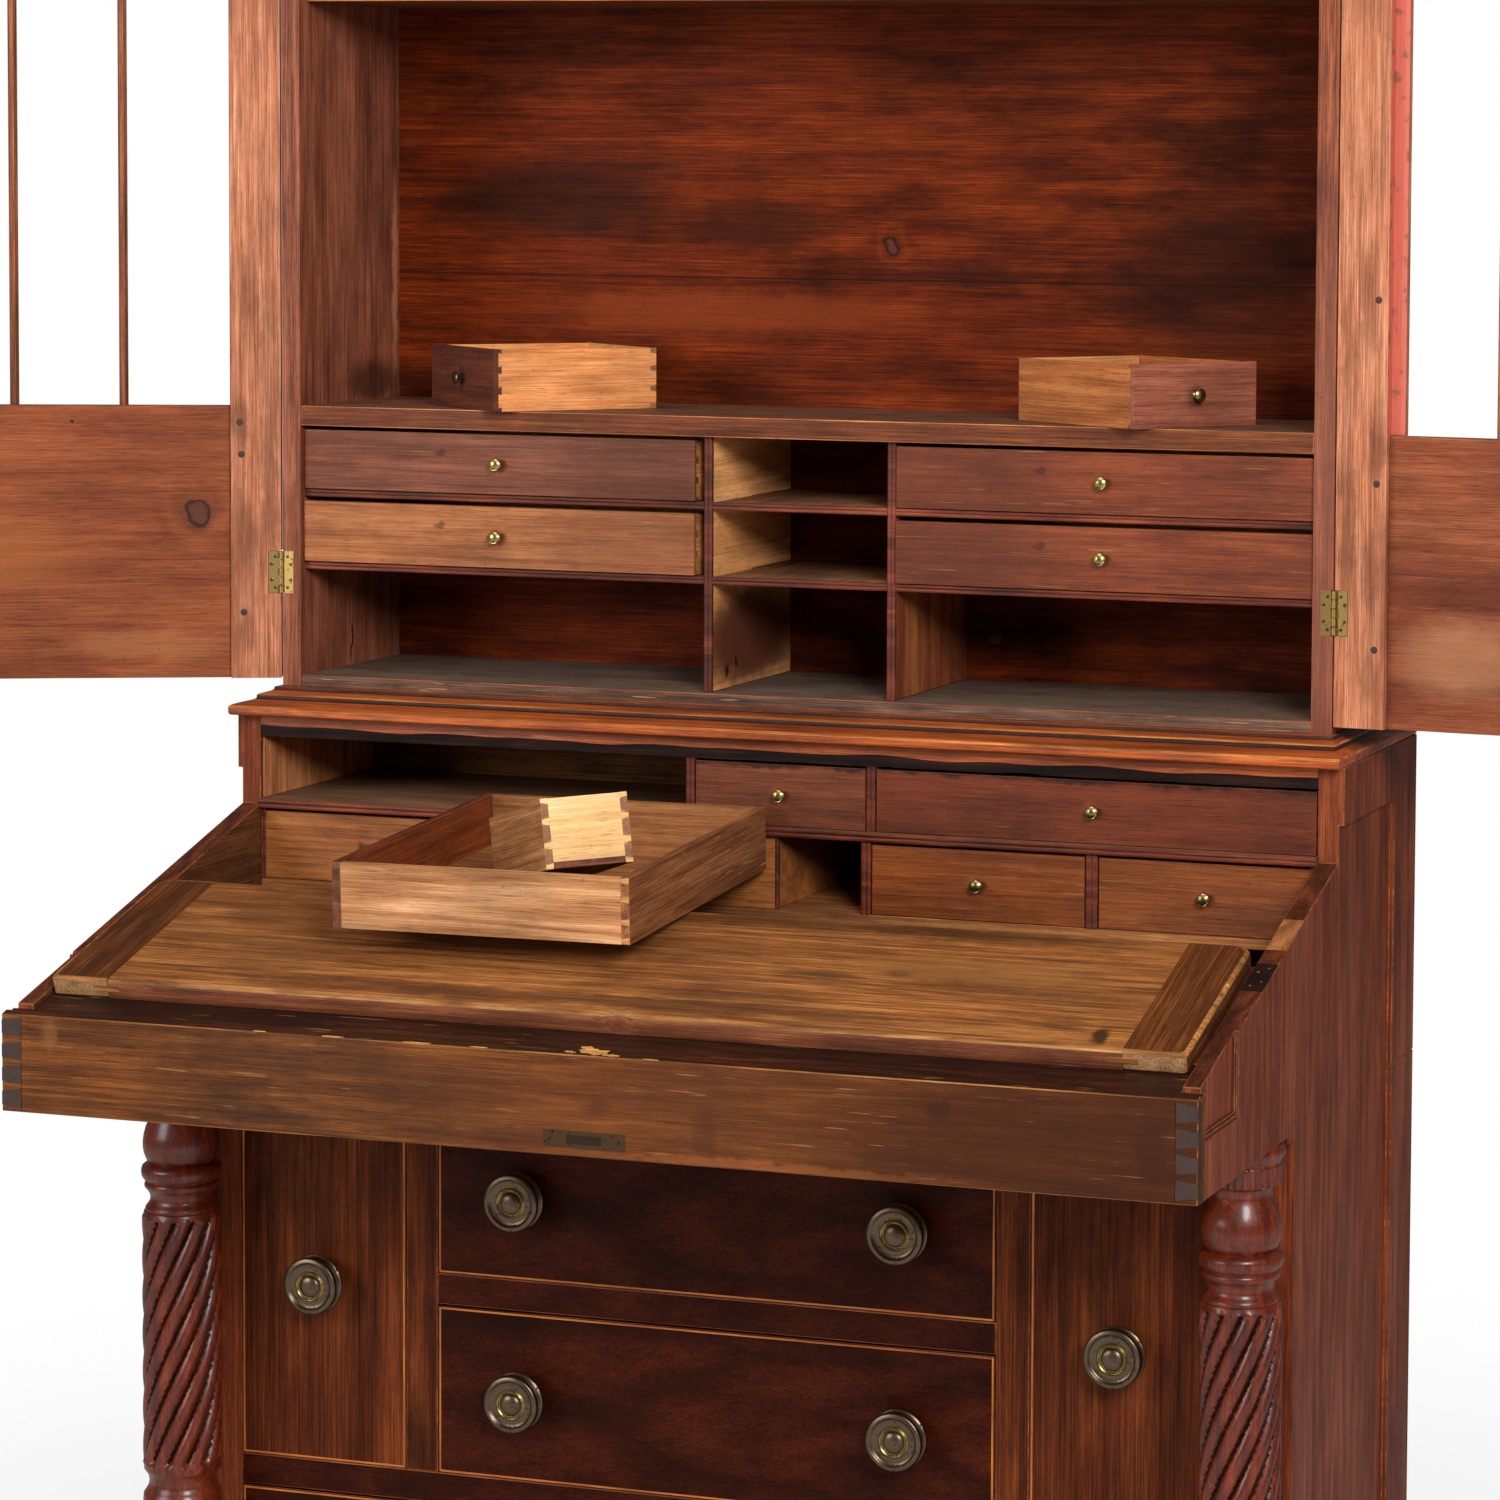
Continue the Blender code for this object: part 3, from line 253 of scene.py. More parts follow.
def case_spot(x, y, z):
    return (x + shift.x, y + shift.y, z)


def stains_and_painted_light(rows, level, deep, axis=1, spot=case_spot):
    """Spots on a flat face at a level: stains, and also painted shade and painted highlights. Rows hold two
    places, two half widths, a tint and a share.
    """
    made = []
    for first, last, wide, tall, tint, share in rows:
        centre, reach = [first, last], [wide, tall]
        centre.insert(axis, level)
        reach.insert(axis, deep)
        made.append((spot(*centre), reach, tint, share))
    return made


def own_spot(x, y, z):
    return (x, y, z)


# Varnished mahogany of the outer case: red-brown, fine pores, a soft shine
mahogany_up = wood("mahogany_up", "451e11 77351e 9e5332 492011", "Z", ring=6, line=1.8, depth=0.76,
                   rough=0.42,
                   shine=0.12)
mahogany_across = wood("mahogany_across", "451a0e 782f1a a04826 4a1c10", "X", 1, ring=6, figure=0.25,
                       rough=0.42,
                       shine=0.12)
mahogany_deep = wood("mahogany_deep", "2c0f0a 4c1f15 6a3020 2c100a", "Z", 2, figure=0.25, rough=0.34,
                     shine=0.4,
                     coat=0.12)
worn_mahogany = wood("worn_mahogany", "54260f 85451f b56d38 4c2011", "X", 3, ring=3, figure=0.25,
                     blotch_share=0.8, rough=0.5, shine=0.25)
front_rail_wood = wood(
    "front_rail_wood", "3c2210 673817 8f5627 3c2516", "X", 4, ring=3.2, blotch_share=0.75, rough=0.45,
    shine=0.1,
    chips=0.25, spots=stains_and_painted_light((
        (-0.060, 0.685, 0.05, 0.012, "2a1712", 0.6), (0.12, 0.700, 0.016, 0.03, "2a1712", 0.5),
        (0.30, 0.690, 0.07, 0.014, "3a2015", 0.5), (-0.30, 0.684, 0.09, 0.010, "2f1a12", 0.5),
        (0.02, 0.712, 0.02, 0.014, "2a1712", 0.5), (0.33, 0.735, 0.016, 0.014, "241512", 0.6),
        (0.20, 0.674, 0.26, 0.006, "a86030", 0.5), (0.515, 0.712, 0.022, 0.04, "33241f", 0.6),
        (-0.506, 0.742, 0.012, 0.02, "8a5a34", 0.4), (0.46, 0.710, 0.34, 0.11, "38190c", 0.82),
        (0.06, 0.710, 0.30, 0.09, "5a2e17", 0.45)), desk_front, 0.02))
ledge_wood = wood("ledge_wood", "160a06 30160c 4c2614 120805", "X", 71, ring=3, line=3, figure=0.25,
                  blotch_share=0.8, rough=0.3, shine=0.3, chips=0.3)
inner_case_wood = wood("inner_case_wood", "381c0d 61381e 805230 371a0d", "Y", 72, shine=0.15)
slope_edge_wood = wood("slope_edge_wood", "2c130b 5a2a18 83482a 28110a", "Y", 74, ring=4, figure=0.25,
                       blotch_share=0.8, rough=0.45)
bay_floor_wood = wood("bay_floor_wood", "563823 85593e aa7c54 482f1f", "X", 73, ring=4, rough=0.65,
                      shine=0.15,
                      dust=0.3)
# Pale wood of the sheet on the row-one bay's left wall: painted light
bay_painted_light_sheet_wood = wood("bay_painted_light_sheet_wood", "874c29 c77e4e e5a370 814927", "Z", 75, shine=0.1)
worn_rail = wood("worn_rail", "4c2814 84501f c08a4a 3a1e10", "X", 5, ring=2, line=3, figure=0.25,
                 blotch_share=0.95, shine=0.25)
flame_mahogany = wood("flame_mahogany", "2f1308 5a2813 85441d 281208", "Z", 6, ring=11, line=2.2, figure=0.28,
                      blotch_share=0.7, rough=0.45, shine=0.06)
flame_across = wood("flame_across", "1f0803 351107 4d1c0a 1b0703", "X", 7, ring=11, line=2.2, figure=0.28,
                    blotch_share=0.7, rough=0.45, shine=0.06, turn=0.25)
turned_mahogany = wood("turned_mahogany", "300e05 64220e 923c1a 340f07", "Z", 8, rough=0.3, coat=0.5)
# Near-black wood laid in the reeds' grooves: painted shade
groove_painted_shade = wood("groove_painted_shade", "120402 240a05 3a140a 120402", "Z", 8, figure=0.25, rough=0.5,
                       shine=0.1)

# Stained pine of the bookcase: matt, orange where it is rubbed; lighter copies and spots on some walls paint
# the light and shade that fall there
# Left inner wall: a lighter copy of wall_wood that paints the light falling on it; its dark spot just above
# the shelf is a painted shadow
left_wall_painted_light_wood = wood(
    "left_wall_painted_light_wood", "512617 884c35 af6e52 562a1c", "Z", 10, ring=7, figure=0.15, blotch_share=0.7,
    rough=0.55,
    shine=0.15, chips=0.1, spots=stains_and_painted_light((
        (0.1990, 1.40, 0.0085, 0.125, "b87454", 0.75), (0.15, 1.295, 0.07, 0.030, "2a120b", 0.7),
        (0.1056, 1.036, 0.0025, 0.03, "0c0504", 0.9)), -book_wall, 0.05, 0))
# Right side: the light band down its front edge is a painted highlight
wall_wood = wood("wall_wood", "3f1e15 7d3f27 b06744 3a1d15", "Z", 10, ring=7, figure=0.15, blotch_share=0.85,
                 rough=0.55, chips=0.1,
                 spots=stains_and_painted_light(((-0.001, 1.20, 0.02, 0.40, "8a5442", 0.4),), book_half, 0.05, 0))
back_pine = wood(
    "back_pine", "421304 682307 8a390c 260b03", "X", 9, ring=7, figure=0.18, blotch_share=0.85, depth=0.6,
    shine=0.08,
    seams=[(height, 0.0012) for height in (1.1230, 1.4044, 1.6770, 1.9560)],
    spots=stains_and_painted_light((
        (-0.34, 1.48, 0.20, 0.055, "1f0c07", 0.75), (-0.12, 1.455, 0.12, 0.035, "260e07", 0.65),
        (0.36, 1.40, 0.14, 0.13, "260d06", 0.6), (0.10, 1.41, 0.10, 0.02, "1c0a06", 0.5),
        (-0.15, 1.37, 0.26, 0.03, "8a3c1a", 0.5)), book_back_face, 0.05),
    knots=[(case_spot(0.0248, book_back_face, 1.4393), 0.010),
           (case_spot(0.135, book_back_face, 1.055), 0.009)])
outer_pine = wood(
    "outer_pine", "3c2416 6e4628 946238 341e12", "X", 76, ring=7, blotch_share=0.8, depth=0.66, rough=0.75,
    shine=0.08, dust=0.3, seams=[(height, 0.0014) for height in (0.330, 0.560, 0.790, 1.1230, 1.4044, 1.6770,
                                                                 1.9560)],
    knots=[(case_spot(x, y, z), radius) for x, y, z, radius in (
        (-0.21, 0.19, 0.47, 0.011), (0.30, 0.21, 1.52, 0.012), (0.24, 0.19, 0.68, 0.009),
        (-0.33, 0.21, 1.84, 0.010))])
shelf_wood = wood("shelf_wood", "431e0e 6a341a 8d5128 2f140a", "X", 11, ring=4, figure=0.15, rough=0.55,
                  dust=0.5)
floor_wood = wood("floor_wood", "3b281e 63483a 8d6d58 34241d", "X", 12, ring=4, figure=0.15, blotch_share=0.8,
                  rough=0.8, shine=0.15, chips=0.7, dust=0.7)
nest_wood = wood("nest_wood", "5c3218 8a5630 b5804a 4a2412", "Y", 13, ring=4, blotch_share=0.6, dust=0.35)
nest_edge = wood("nest_edge", "38130a 6a2c18 94492a 2a0f09", "X", 14, ring=3, figure=0.25, blotch_share=0.8,
                 rough=0.45, shine=0.3)
nest_shade = (case_spot(-0.082, 0.10, 1.058), (0.03, 0.16, 0.062), "5c3020", 0.95)
# Left divider of the nest, made pale to paint the light that falls on it; nest_shade paints the shade on it
# in the lowest opening
nest_wall_left_painted_light = wood(
    "nest_wall_left_painted_light", "c07c42 e6a164 f9c383 af6b31", "Y", 15, ring=4, blotch_share=0.4, depth=0.8,
    spots=[nest_shade, nest_shade] + stains_and_painted_light(((0.045, 1.030, 0.008, 0.012, "150c09", 0.9),
                                             (0.070, 1.036, 0.005, 0.008, "150c09", 0.9)), -0.082, 0.02, 0))
nest_wall_right = wood("nest_wall_right", "592c19 8a4728 bd6f40 462116", "Z", 16,
                       spots=stains_and_painted_light(((0.06, 1.055, 0.012, 0.10, "b07838", 0.55),), 0.105, 0.02, 0))

# Small drawer fronts, each from its own board, some darker and some lighter
drawer_board = {
    "nest_drawer_left_top": "512715 753f29 8d5437 442012",
    "nest_drawer_left_low": "794120 9f5f35 b97746 64341d",
    "nest_drawer_right_top": "5a2713 7f3a1d 984e2c 461f10",
    "nest_drawer_right_low": "572513 7a381c 934b29 441e0f",
    "row_one_drawer_centre": "481f11 6d361b 844728 30130b",
    "row_one_drawer_right": "441a0c 672c15 7d3b1c 2c1309",
    "row_two_drawer_left": "6a3b1c a15f2e ba753c 492613",
    "row_two_drawer_middle": "5c2c12 864316 9f5724 431d0c",
    "row_two_drawer_right": "572813 7e411a 975429 401c0c",
}


def front_board(name, tones, seed):
    """Front with a warm rubbed ring round its knob and a painted shadow of the knob, a dark ring set a little
    to its right.
    """
    spots = [((0, 0, 0), (0.015, 0.03, 0.013), "9a4a1e", 0.45),
             # Painted shadow of the knob: a dark ring 2 mm to the right of its centre
             ((0.002, 0, 0), (0.009, 0.02, 0.009), "2a1612", 0.8)]
    if name.startswith("row_one"):
        spots += stains_and_painted_light(((0, 0.031, 0.5, 0.0065, "1c0c08", 0.8),), 0, 0.03, spot=own_spot)
    if name.startswith("nest_drawer"):
        far = 0.15 if "left" in name else -0.15
        spots += stains_and_painted_light(((far, 0, 0.14, 0.06, tones[-6:], 0.5), (-0.06, 0.010, 0.008, 0.004, "2a1610", 0.6)),
                        0, 0.03,
                        spot=own_spot)
    return wood(name + "_front", tones, "X", seed, rough=0.5, shine=0.25, chips=0.2, depth=0.72, spots=spots)


# Bare pine and poplar of drawer sides: matt and pale, browner where hands and air reached it
bare_pine_across = wood("bare_pine_across", "a46a38 cc8c52 e6aa6e 9c6434", "X", 21, ring=6, figure=0.25,
                        blotch_share=0.4, rough=0.62)
brown_pine = wood("brown_pine", "6a3c1e 945a30 b87c4a 5a3218", "Y", 22, figure=0.25, rough=0.62)
brown_pine_across = wood("brown_pine_across", "6a3c1e 945a30 b87c4a 5a3218", "X", 23, figure=0.25, rough=0.62)
hidden_pine = wood("hidden_pine", "7a4c26 a8743e c8945a 6a4424", "Y", 24, ring=6, figure=0.25, rough=0.7,
                   dust=0.3)
pine_end = end_grain("pine_end", "4a2c18", "a97c4c")
dark_end = end_grain("dark_end", "3a2014", "704630")
small_end = end_grain("small_end", "5c381e", "9c683c")

# Writing board: bare softwood gone golden brown, stained, with light rubbed edges
lid_wood = wood(
    "lid_wood", "4a2916 8d5427 c4854a 522e18", "X", 25, ring=3.5, line=2, relief=0.6, figure=0.15,
    blotch_share=0.6,
    depth=0.76, rough=0.62, shine=0.15, chips=0.3, spots=stains_and_painted_light((
        (0.166, -0.106, 0.055, 0.014, "3c2415", 0.6), (0.2396, -0.094, 0.018, 0.010, "332012", 0.7),
        (0.4499, -0.180, 0.011, 0.020, "20130c", 0.85), (0.41, -0.164, 0.03, 0.016, "4a3018", 0.5),
        (-0.05, -0.178, 0.50, 0.014, "4c2c16", 0.6), (-0.02, -0.012, 0.52, 0.014, "44280f", 0.6),
        (0.30, -0.012, 0.16, 0.022, "36200f", 0.6), (0.30, -0.080, 0.15, 0.030, "a06a36", 0.4),
        (-0.40, -0.066, 0.05, 0.02, "3a2210", 0.5), (-0.36, -0.10, 0.10, 0.09, "6a4020", 0.45)),
        lid_thickness, 0.03, 2, own_spot))
lid_end_wood = wood("lid_end_wood", "321709 5c2f11 894f20 2b1408", "Y", 26, ring=3, relief=0.6, figure=0.12,
                    blotch_share=0.8)
lid_edge_wood = wood("lid_edge_wood", "4c2616 743e24 965a36 38190e", "X", 27, ring=3, relief=0.5, figure=0.25,
                     chips=0.3)
rubbed_oak = wood("rubbed_oak", "623619 9c6632 cc9258 4c2814", "X", 28, ring=2.5, line=3, figure=0.25,
                  blotch_share=0.95, rough=0.65)
splintered = wood("splintered", "a0622a d69a50 f0be76 8a5426", "X", 29, ring=1.5, figure=0.25, rough=0.75)

# Waist moulding, scorched under its front edge: rubbed rounds with a painted highlight, painted shade in the
# hollows, dull black below
waist_wood = wood("waist_wood", "67280d a54c1d da702d 55200c", "X", 30, ring=3.5, line=2.2, figure=0.15,
                  blotch_share=0.75, rough=0.4, shine=0.35, coat=0.06, chips=0.5)
# Lighter wood of the waist's rounds, rubbed and carrying a painted highlight; also the rubbed arrises of the
# shelves
waist_rubbed_and_highlight = wood("waist_rubbed_and_highlight", "753b1a b3662e e6964e 602d14", "X", 31, ring=3, line=3, figure=0.25,
                   blotch_share=0.9, rough=0.4, shine=0.35, coat=0.06)
# Near-black wood of the waist's hollows: painted shade
waist_painted_shade = wood("waist_painted_shade", "1c0b06 38180c 54280f 140805", "X", 32, ring=3, figure=0.25, rough=0.45,
                  shine=0.25)
scorched = wood("scorched", "0c0605 20110c 3c2014 080403", "X", 33, ring=3, figure=0.25, blotch_share=0.9,
                rough=0.7,
                shine=0.15)

# Doors: stained pine, paler and pinker than the case, with grime beside the hinges
stile_wood = wood(
    "stile_wood", "7f4325 b46f4d dd9b78 7d452e", "Z", 34, ring=3.5, figure=0.15, blotch_share=0.7, depth=0.78,
    rough=0.55, chips=0.15, spots=stains_and_painted_light([(out * x, z, 0.012, tall, "5c3220", share) for out in (-1, 1)
                                          for x, z, tall, share in (
        (0.034, 1.150, 0.05, 0.5), (0.040, 1.262, 0.035, 0.55), (0.030, 1.390, 0.06, 0.4),
        (0.012, 1.20, 0.10, 0.5), (0.012, 1.33, 0.09, 0.4), (0.034, 1.055, 0.03, 0.4))], 0, 0.03,
                                         spot=own_spot))
stile_across = wood("stile_across", "7c4020 b06a44 d8946a 7a4228", "X", 35, ring=3.5, figure=0.25, rough=0.55)
bar_wood = wood("bar_wood", "4c2010 84462a b0704a 3a180d", "Z", 36, ring=3, figure=0.25, rough=0.5,
                shine=0.25)
left_board_wood = wood(
    "left_board_wood", "5e280e 834122 98552b 602811", "X", 37, ring=8, blotch_share=0.7, depth=0.8,
    rough=0.55,
    chips=0.15, knots=[((0.0813, -0.007, 1.1707), 0.0135)],
    spots=[((0.200, -0.007, 1.2587), (0.0022, 0.01, 0.0022), "100806", 1.0)] + stains_and_painted_light((
        (0.30, 1.13, 0.14, 0.05, "a4602c", 0.4), (0.13, 1.04, 0.10, 0.02, "b47848", 0.3)), -0.007, 0.02,
        spot=own_spot))
right_board_wood = wood(
    "right_board_wood", "592510 814125 9d5a36 5d2916", "X", 38, ring=7, blotch_share=0.7, depth=0.78,
    rough=0.55,
    chips=0.15, spots=stains_and_painted_light(((-0.12, 1.075, 0.08, 0.05, "b07c58", 0.45),), -0.007, 0.02, spot=own_spot))
red_paint = paint("red_paint", "ce6a56", "b4523f", "8a5038")
peg_end = end_grain("peg_end", "1c0f0b", "4a2618")

# Cast brass gone dull brown in the hollows, and wrought iron; inlay of light wood
brass_knob = metal("brass_knob", "3c3018", "a8925a", 0.26)
old_brass = metal("old_brass", "2a221a", "625344", 0.34, 0.6)
gilt_brass = metal("gilt_brass", "4a3c24", "a08752", 0.30, 0.4)
hinge_brass = metal("hinge_brass", "54401e", "b09254", 0.36, 0.6)
lock_brass = metal("lock_brass", "241812", "543e2c", 0.5, 0.7)
dark_iron = metal("dark_iron", "1a1410", "3c3028", 0.5, 0.6)
inlay_wood = wood("inlay_wood", "8a4214 bc6826 dc8a3c 5a2c10", "Z", 39, ring=2, figure=0.25, rough=0.4,
                  shine=0.3)
inlay_across = wood("inlay_across", "8a4214 bc6826 dc8a3c 5a2c10", "X", 40, ring=2, figure=0.25, rough=0.4,
                    shine=0.3)
joint_shadow = wood("joint_shadow", "0c0705 1a0d09 26130d 0c0705", "X", 41, ring=4.5, figure=0.25, rough=0.9,
                    shine=0.1)

# Loose drawers: two fronts of their own, pale new-looking insides, brown handled outsides
left_front_wood = wood("left_front_wood", "441c11 612f1e 81452c 3b170d", "X", 60, figure=0.15, rough=0.5,
                       shine=0.25,
                       spots=[((-0.07425, 0, 0.030), (0.014, 0.02, 0.014), "23120e", 0.6)])
right_front_wood = wood("right_front_wood", "62301f 965440 b07050 5c2c1c", "X", 61, figure=0.15, rough=0.5,
                        shine=0.25,
                        spots=[((0.07425, 0, 0.030), (0.014, 0.02, 0.014), "2f1813", 0.6)])
shelf_pine = wood("shelf_pine", "b06a34 dc8c50 f0aa70 b4703a", "Y", 62, figure=0.15, depth=0.82, chips=0.1)
shelf_pine_right = wood("shelf_pine_right", "7c4420 aa6232 c8824a 6e3c1c", "Y", 63, figure=0.15, depth=0.8)
big_near_pine = wood("big_near_pine", "794a29 b57b4d dba879 825431", "X", 64, ring=4, line=1.4, relief=0.5,
                     figure=0.35, depth=0.75, rough=0.62)
big_front_wood = wood("big_front_wood", "3c170d 642e1a 8a4a2a 30120b", "Y", 65, figure=0.25, rough=0.5,
                      shine=0.25)
big_inner_red = wood("big_inner_red", "5c240e 833f1b 9a5229 54210d", "Y", 66, figure=0.25)
big_right_wood = wood("big_right_wood", "562e1a 885330 b87e52 4d2816", "Y", 67, ring=4, blotch_share=0.8,
                      rough=0.62,
                      chips=0.9)
big_far_wood = wood("big_far_wood", "703f1e 915b31 ae7849 633a1d", "X", 68, ring=4, figure=0.25, rough=0.62)
small_back_pine = wood("small_back_pine", "d09a5c eab87c f6d09a dca86a", "X", 69, ring=6, figure=0.15,
                       blotch_share=0.4, depth=0.88)
small_side_pine = wood("small_side_pine", "794a28 a67043 cf9360 6a4022", "Y", 70, ring=4, figure=0.25,
                       rough=0.62,
                       chips=0.3)
rail_end_grain = end_grain("rail_end_grain", "1f0f0a", "3c2115")


# Mesh building

def block(mesh, low, high, slot=0, place=Matrix.Identity(4)):
    """Adds a box between two corners, given in any order."""
    spans = [(min(a, b), max(a, b)) for a, b in zip(low, high)]
    made = [mesh.verts.new(place @ Vector((x, y, z))) for x in spans[0] for y in spans[1] for z in spans[2]]
    for face in ((0, 1, 3, 2), (4, 6, 7, 5), (0, 4, 5, 1), (2, 3, 7, 6), (0, 2, 6, 4), (1, 5, 7, 3)):
        mesh.faces.new([made[index] for index in face]).material_index = slot


def skin(mesh, rings, slot_of=lambda level, index: 0, caps=0):
    """Joins closed rings of points with faces and closes both ends. slot_of gives each face its look."""
    for level, (low, high) in enumerate(zip(rings, rings[1:])):
        for index in range(len(low)):
            after = (index + 1) % len(low)
            face = mesh.faces.new((low[index], low[after], high[after], high[index]))
            face.material_index = slot_of(level, index)
    for ring in (rings[0], rings[-1]):
        mesh.faces.new(ring).material_index = caps


def prism(mesh, outline, axis, stations, slot=0, slots=None, jitter=0.0):
    """Runs an outline along an axis. Stations are two or more positions; slots names a look for each side."""
    rings = []
    for station in stations:
        ring = []
        for first, second in outline:
            spot = {"X": (station, first, second), "Y": (first, station, second),
                    "Z": (first, second, station)}[axis]
            if jitter:
                spot = Vector(spot) + noise.noise_vector(Vector(spot) * 60) * jitter
            ring.append(mesh.verts.new(spot))
        rings.append(ring)
    skin(mesh, rings, lambda level, index: slots[index] if slots else slot, slot)


def turned(mesh, profile, sides, place=Matrix.Identity(4), slot=0, reach=None, bright=()):
    """Turns a profile of (radius, height) points about the local Z axis, then moves it to its place."""
    rings = []
    for radius, height in profile:
        ring = []
        for index in range(sides):
            angle = 2 * math.pi * index / sides
            width = reach(radius, height, angle) if reach else radius
            ring.append(mesh.verts.new(place @ Vector((width * math.cos(angle), width * math.sin(angle),
                                                       height))))
        rings.append(ring)
    skin(mesh, rings, lambda level, index: slot + 1 if level in bright else slot, slot)


def put(name, data):
    """Puts an object with this data in the scene."""
    item = bpy.data.objects.new(name, data)
    bpy.context.scene.collection.objects.link(item)
    return item


def round_edges(item, width, worn):
    """Rounds the arrises. Worn is the look of the rounding, or -1 for that of the faces beside it."""
    bevel = item.modifiers.new("arris", "BEVEL")
    bevel.width = width
    bevel.segments = 2
    bevel.limit_method = "ANGLE"
    bevel.angle_limit = math.radians(40)
    bevel.material = worn


def finish(name, mesh, looks, body, place=in_case, arris=0.0, worn=-1, smooth=False, stands_for=()):
    """Makes an object of the mesh, rounds its arrises and lets it ride on its body."""
    bmesh.ops.recalc_face_normals(mesh, faces=mesh.faces)
    data = bpy.data.meshes.new(name)
    mesh.to_mesh(data)
    mesh.free()
    for look in looks:
        data.materials.append(look)
    item = put(name, data)
    item.matrix_world = place
    if smooth:
        data.shade_smooth()
        data.set_sharp_from_angle(angle=math.radians(38))
    if arris:
        round_edges(item, arris, worn)
    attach(item, body)
    if stands_for:
        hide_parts(*stands_for)


def dress(names, look, worn=None, arris=0.0008, others=()):
    """Gives frame nodes their wood and rounded, rubbed arrises.

    Others pair a wood with the way that its faces look.
    """
    for name in names.split():
        item = nodes[name]
        item.data.materials.clear()
        for each in [look] + ([worn] if worn else []) + [other for other, way in others]:
            item.data.materials.append(each)
        for slot, (other, way) in enumerate(others, 2):
            for face in item.data.polygons:
                if face.normal.dot(Vector(way)) > 0.985:
                    face.material_index = slot
        if "custom_normal" in item.data.attributes:
            item.data.attributes.remove(item.data.attributes["custom_normal"])
        item.data.shade_flat()
        item.modifiers.new("weld", "WELD").merge_threshold = 0.00002
        round_edges(item, arris, 1 if worn else -1)


# Boards that keep the frame's own solids
for side in (-1, 1):
    dress("case_side_{0} desk_side_{0}".format(hand[side]), mahogany_up, worn_mahogany, 0.0010,
          ((inner_case_wood, (-side, 0, 0)), (slope_edge_wood, slope_way)))
dress("book_side_left", left_wall_painted_light_wood, worn_mahogany)
dress("book_side_right", wall_wood, worn_mahogany)
dress("base_board low_blade centre_blade", flame_across, worn_mahogany)
dress("partition_left partition_right", flame_mahogany, worn_mahogany)
dress("cornice", mahogany_across, worn_mahogany)
dress("desk_front_rail", front_rail_wood, worn_rail, 0.0009, ((ledge_wood, slope_way),))
dress("book_back", back_pine, worn_rail, 0.0008, ((outer_pine, (0, 1, 0)),))
dress("lower_back", outer_pine)
dress("book_floor", floor_wood, worn_mahogany)
dress("desk_bottom", brown_pine_across)
dress("thick_shelf book_shelf", shelf_wood, waist_rubbed_and_highlight)
dress("nest_shelf_low nest_shelf_top", nest_wood, nest_edge, 0.0006)
dress("nest_divider_left", nest_wall_left_painted_light, nest_edge, 0.0006)
dress("nest_divider_right", nest_wall_right, nest_edge, 0.0006)
dress("row_one_divider_left row_one_divider_right row_two_divider_left row_two_divider_right", brown_pine,
      nest_edge,
      0.0006)
dress("row_two_floor", brown_pine_across, worn_rail)
dress("row_two_facing", front_board("row_two_facing", drawer_board["row_two_drawer_left"], 44), nest_edge,
      0.0006)


# Knobs: (radius, height) points in millimetres

small_turning = ((4.2, -0.8), (4.2, 0.6), (3.0, 1.0), (2.0, 2.0), (1.9, 4.6), (2.6, 5.6), (4.8, 6.2),
                 (5.9, 6.7),
                 (6.2, 7.4), (6.1, 8.0), (5.4, 8.5), (4.9, 8.4), (4.4, 8.7), (3.2, 9.2), (1.8, 9.5),
                 (0.4, 9.6))
large_turning = ((18.5, -1.0), (18.5, 6.0), (20.0, 9.6), (24.0, 11.8), (26.4, 12.6), (27.2, 13.8),
                 (26.9, 15.4),
                 (25.6, 16.2), (25.0, 17.0), (25.7, 17.9), (25.0, 18.8), (25.7, 19.7), (25.0, 20.6),
                 (25.7, 21.5),
                 (25.0, 22.4), (26.0, 23.4), (27.0, 24.6), (27.2, 26.8), (26.7, 28.3), (25.6, 29.1),
                 (22.8, 29.5),
                 (22.1, 29.0), (21.4, 28.0), (20.2, 27.2), (16.4, 26.9), (14.8, 27.2), (14.0, 28.2),
                 (13.2, 28.9),
                 (12.4, 28.5), (11.6, 27.3), (10.9, 27.2), (10.2, 28.6), (8.4, 30.0), (5.6, 31.0),
                 (2.6, 31.4),
                 (0.5, 31.5))
large_boss = range(25, 30)
outward = Matrix.Rotation(math.radians(90), 4, "X")
inward = Matrix.Rotation(math.radians(-90), 4, "X")


def knob(name, turning, look, body, place):
    """Turned knob standing out along local -Y from a drawer's face."""
    mesh = bmesh.new()
    large = turning is large_turning
    turned(mesh, [(radius / 1000, height / 1000) for radius, height in turning], 48 if large else 28, outward,
           bright=large_boss if large else ())
    finish(name, mesh, [look, gilt_brass], body, place, smooth=True)


# Drawers

def tail(mesh, x, side, y0, y1, z_low, z_high, slope, slot):
    """Dovetail showing on a side's outer face, wider at its y1 end."""
    outline = [(y0, z_low + slope), (y1, z_low), (y1, z_high), (y0, z_high - slope)]
    prism(mesh, outline, "X", (x - side * 0.0004, x + side * 0.00015), slot)


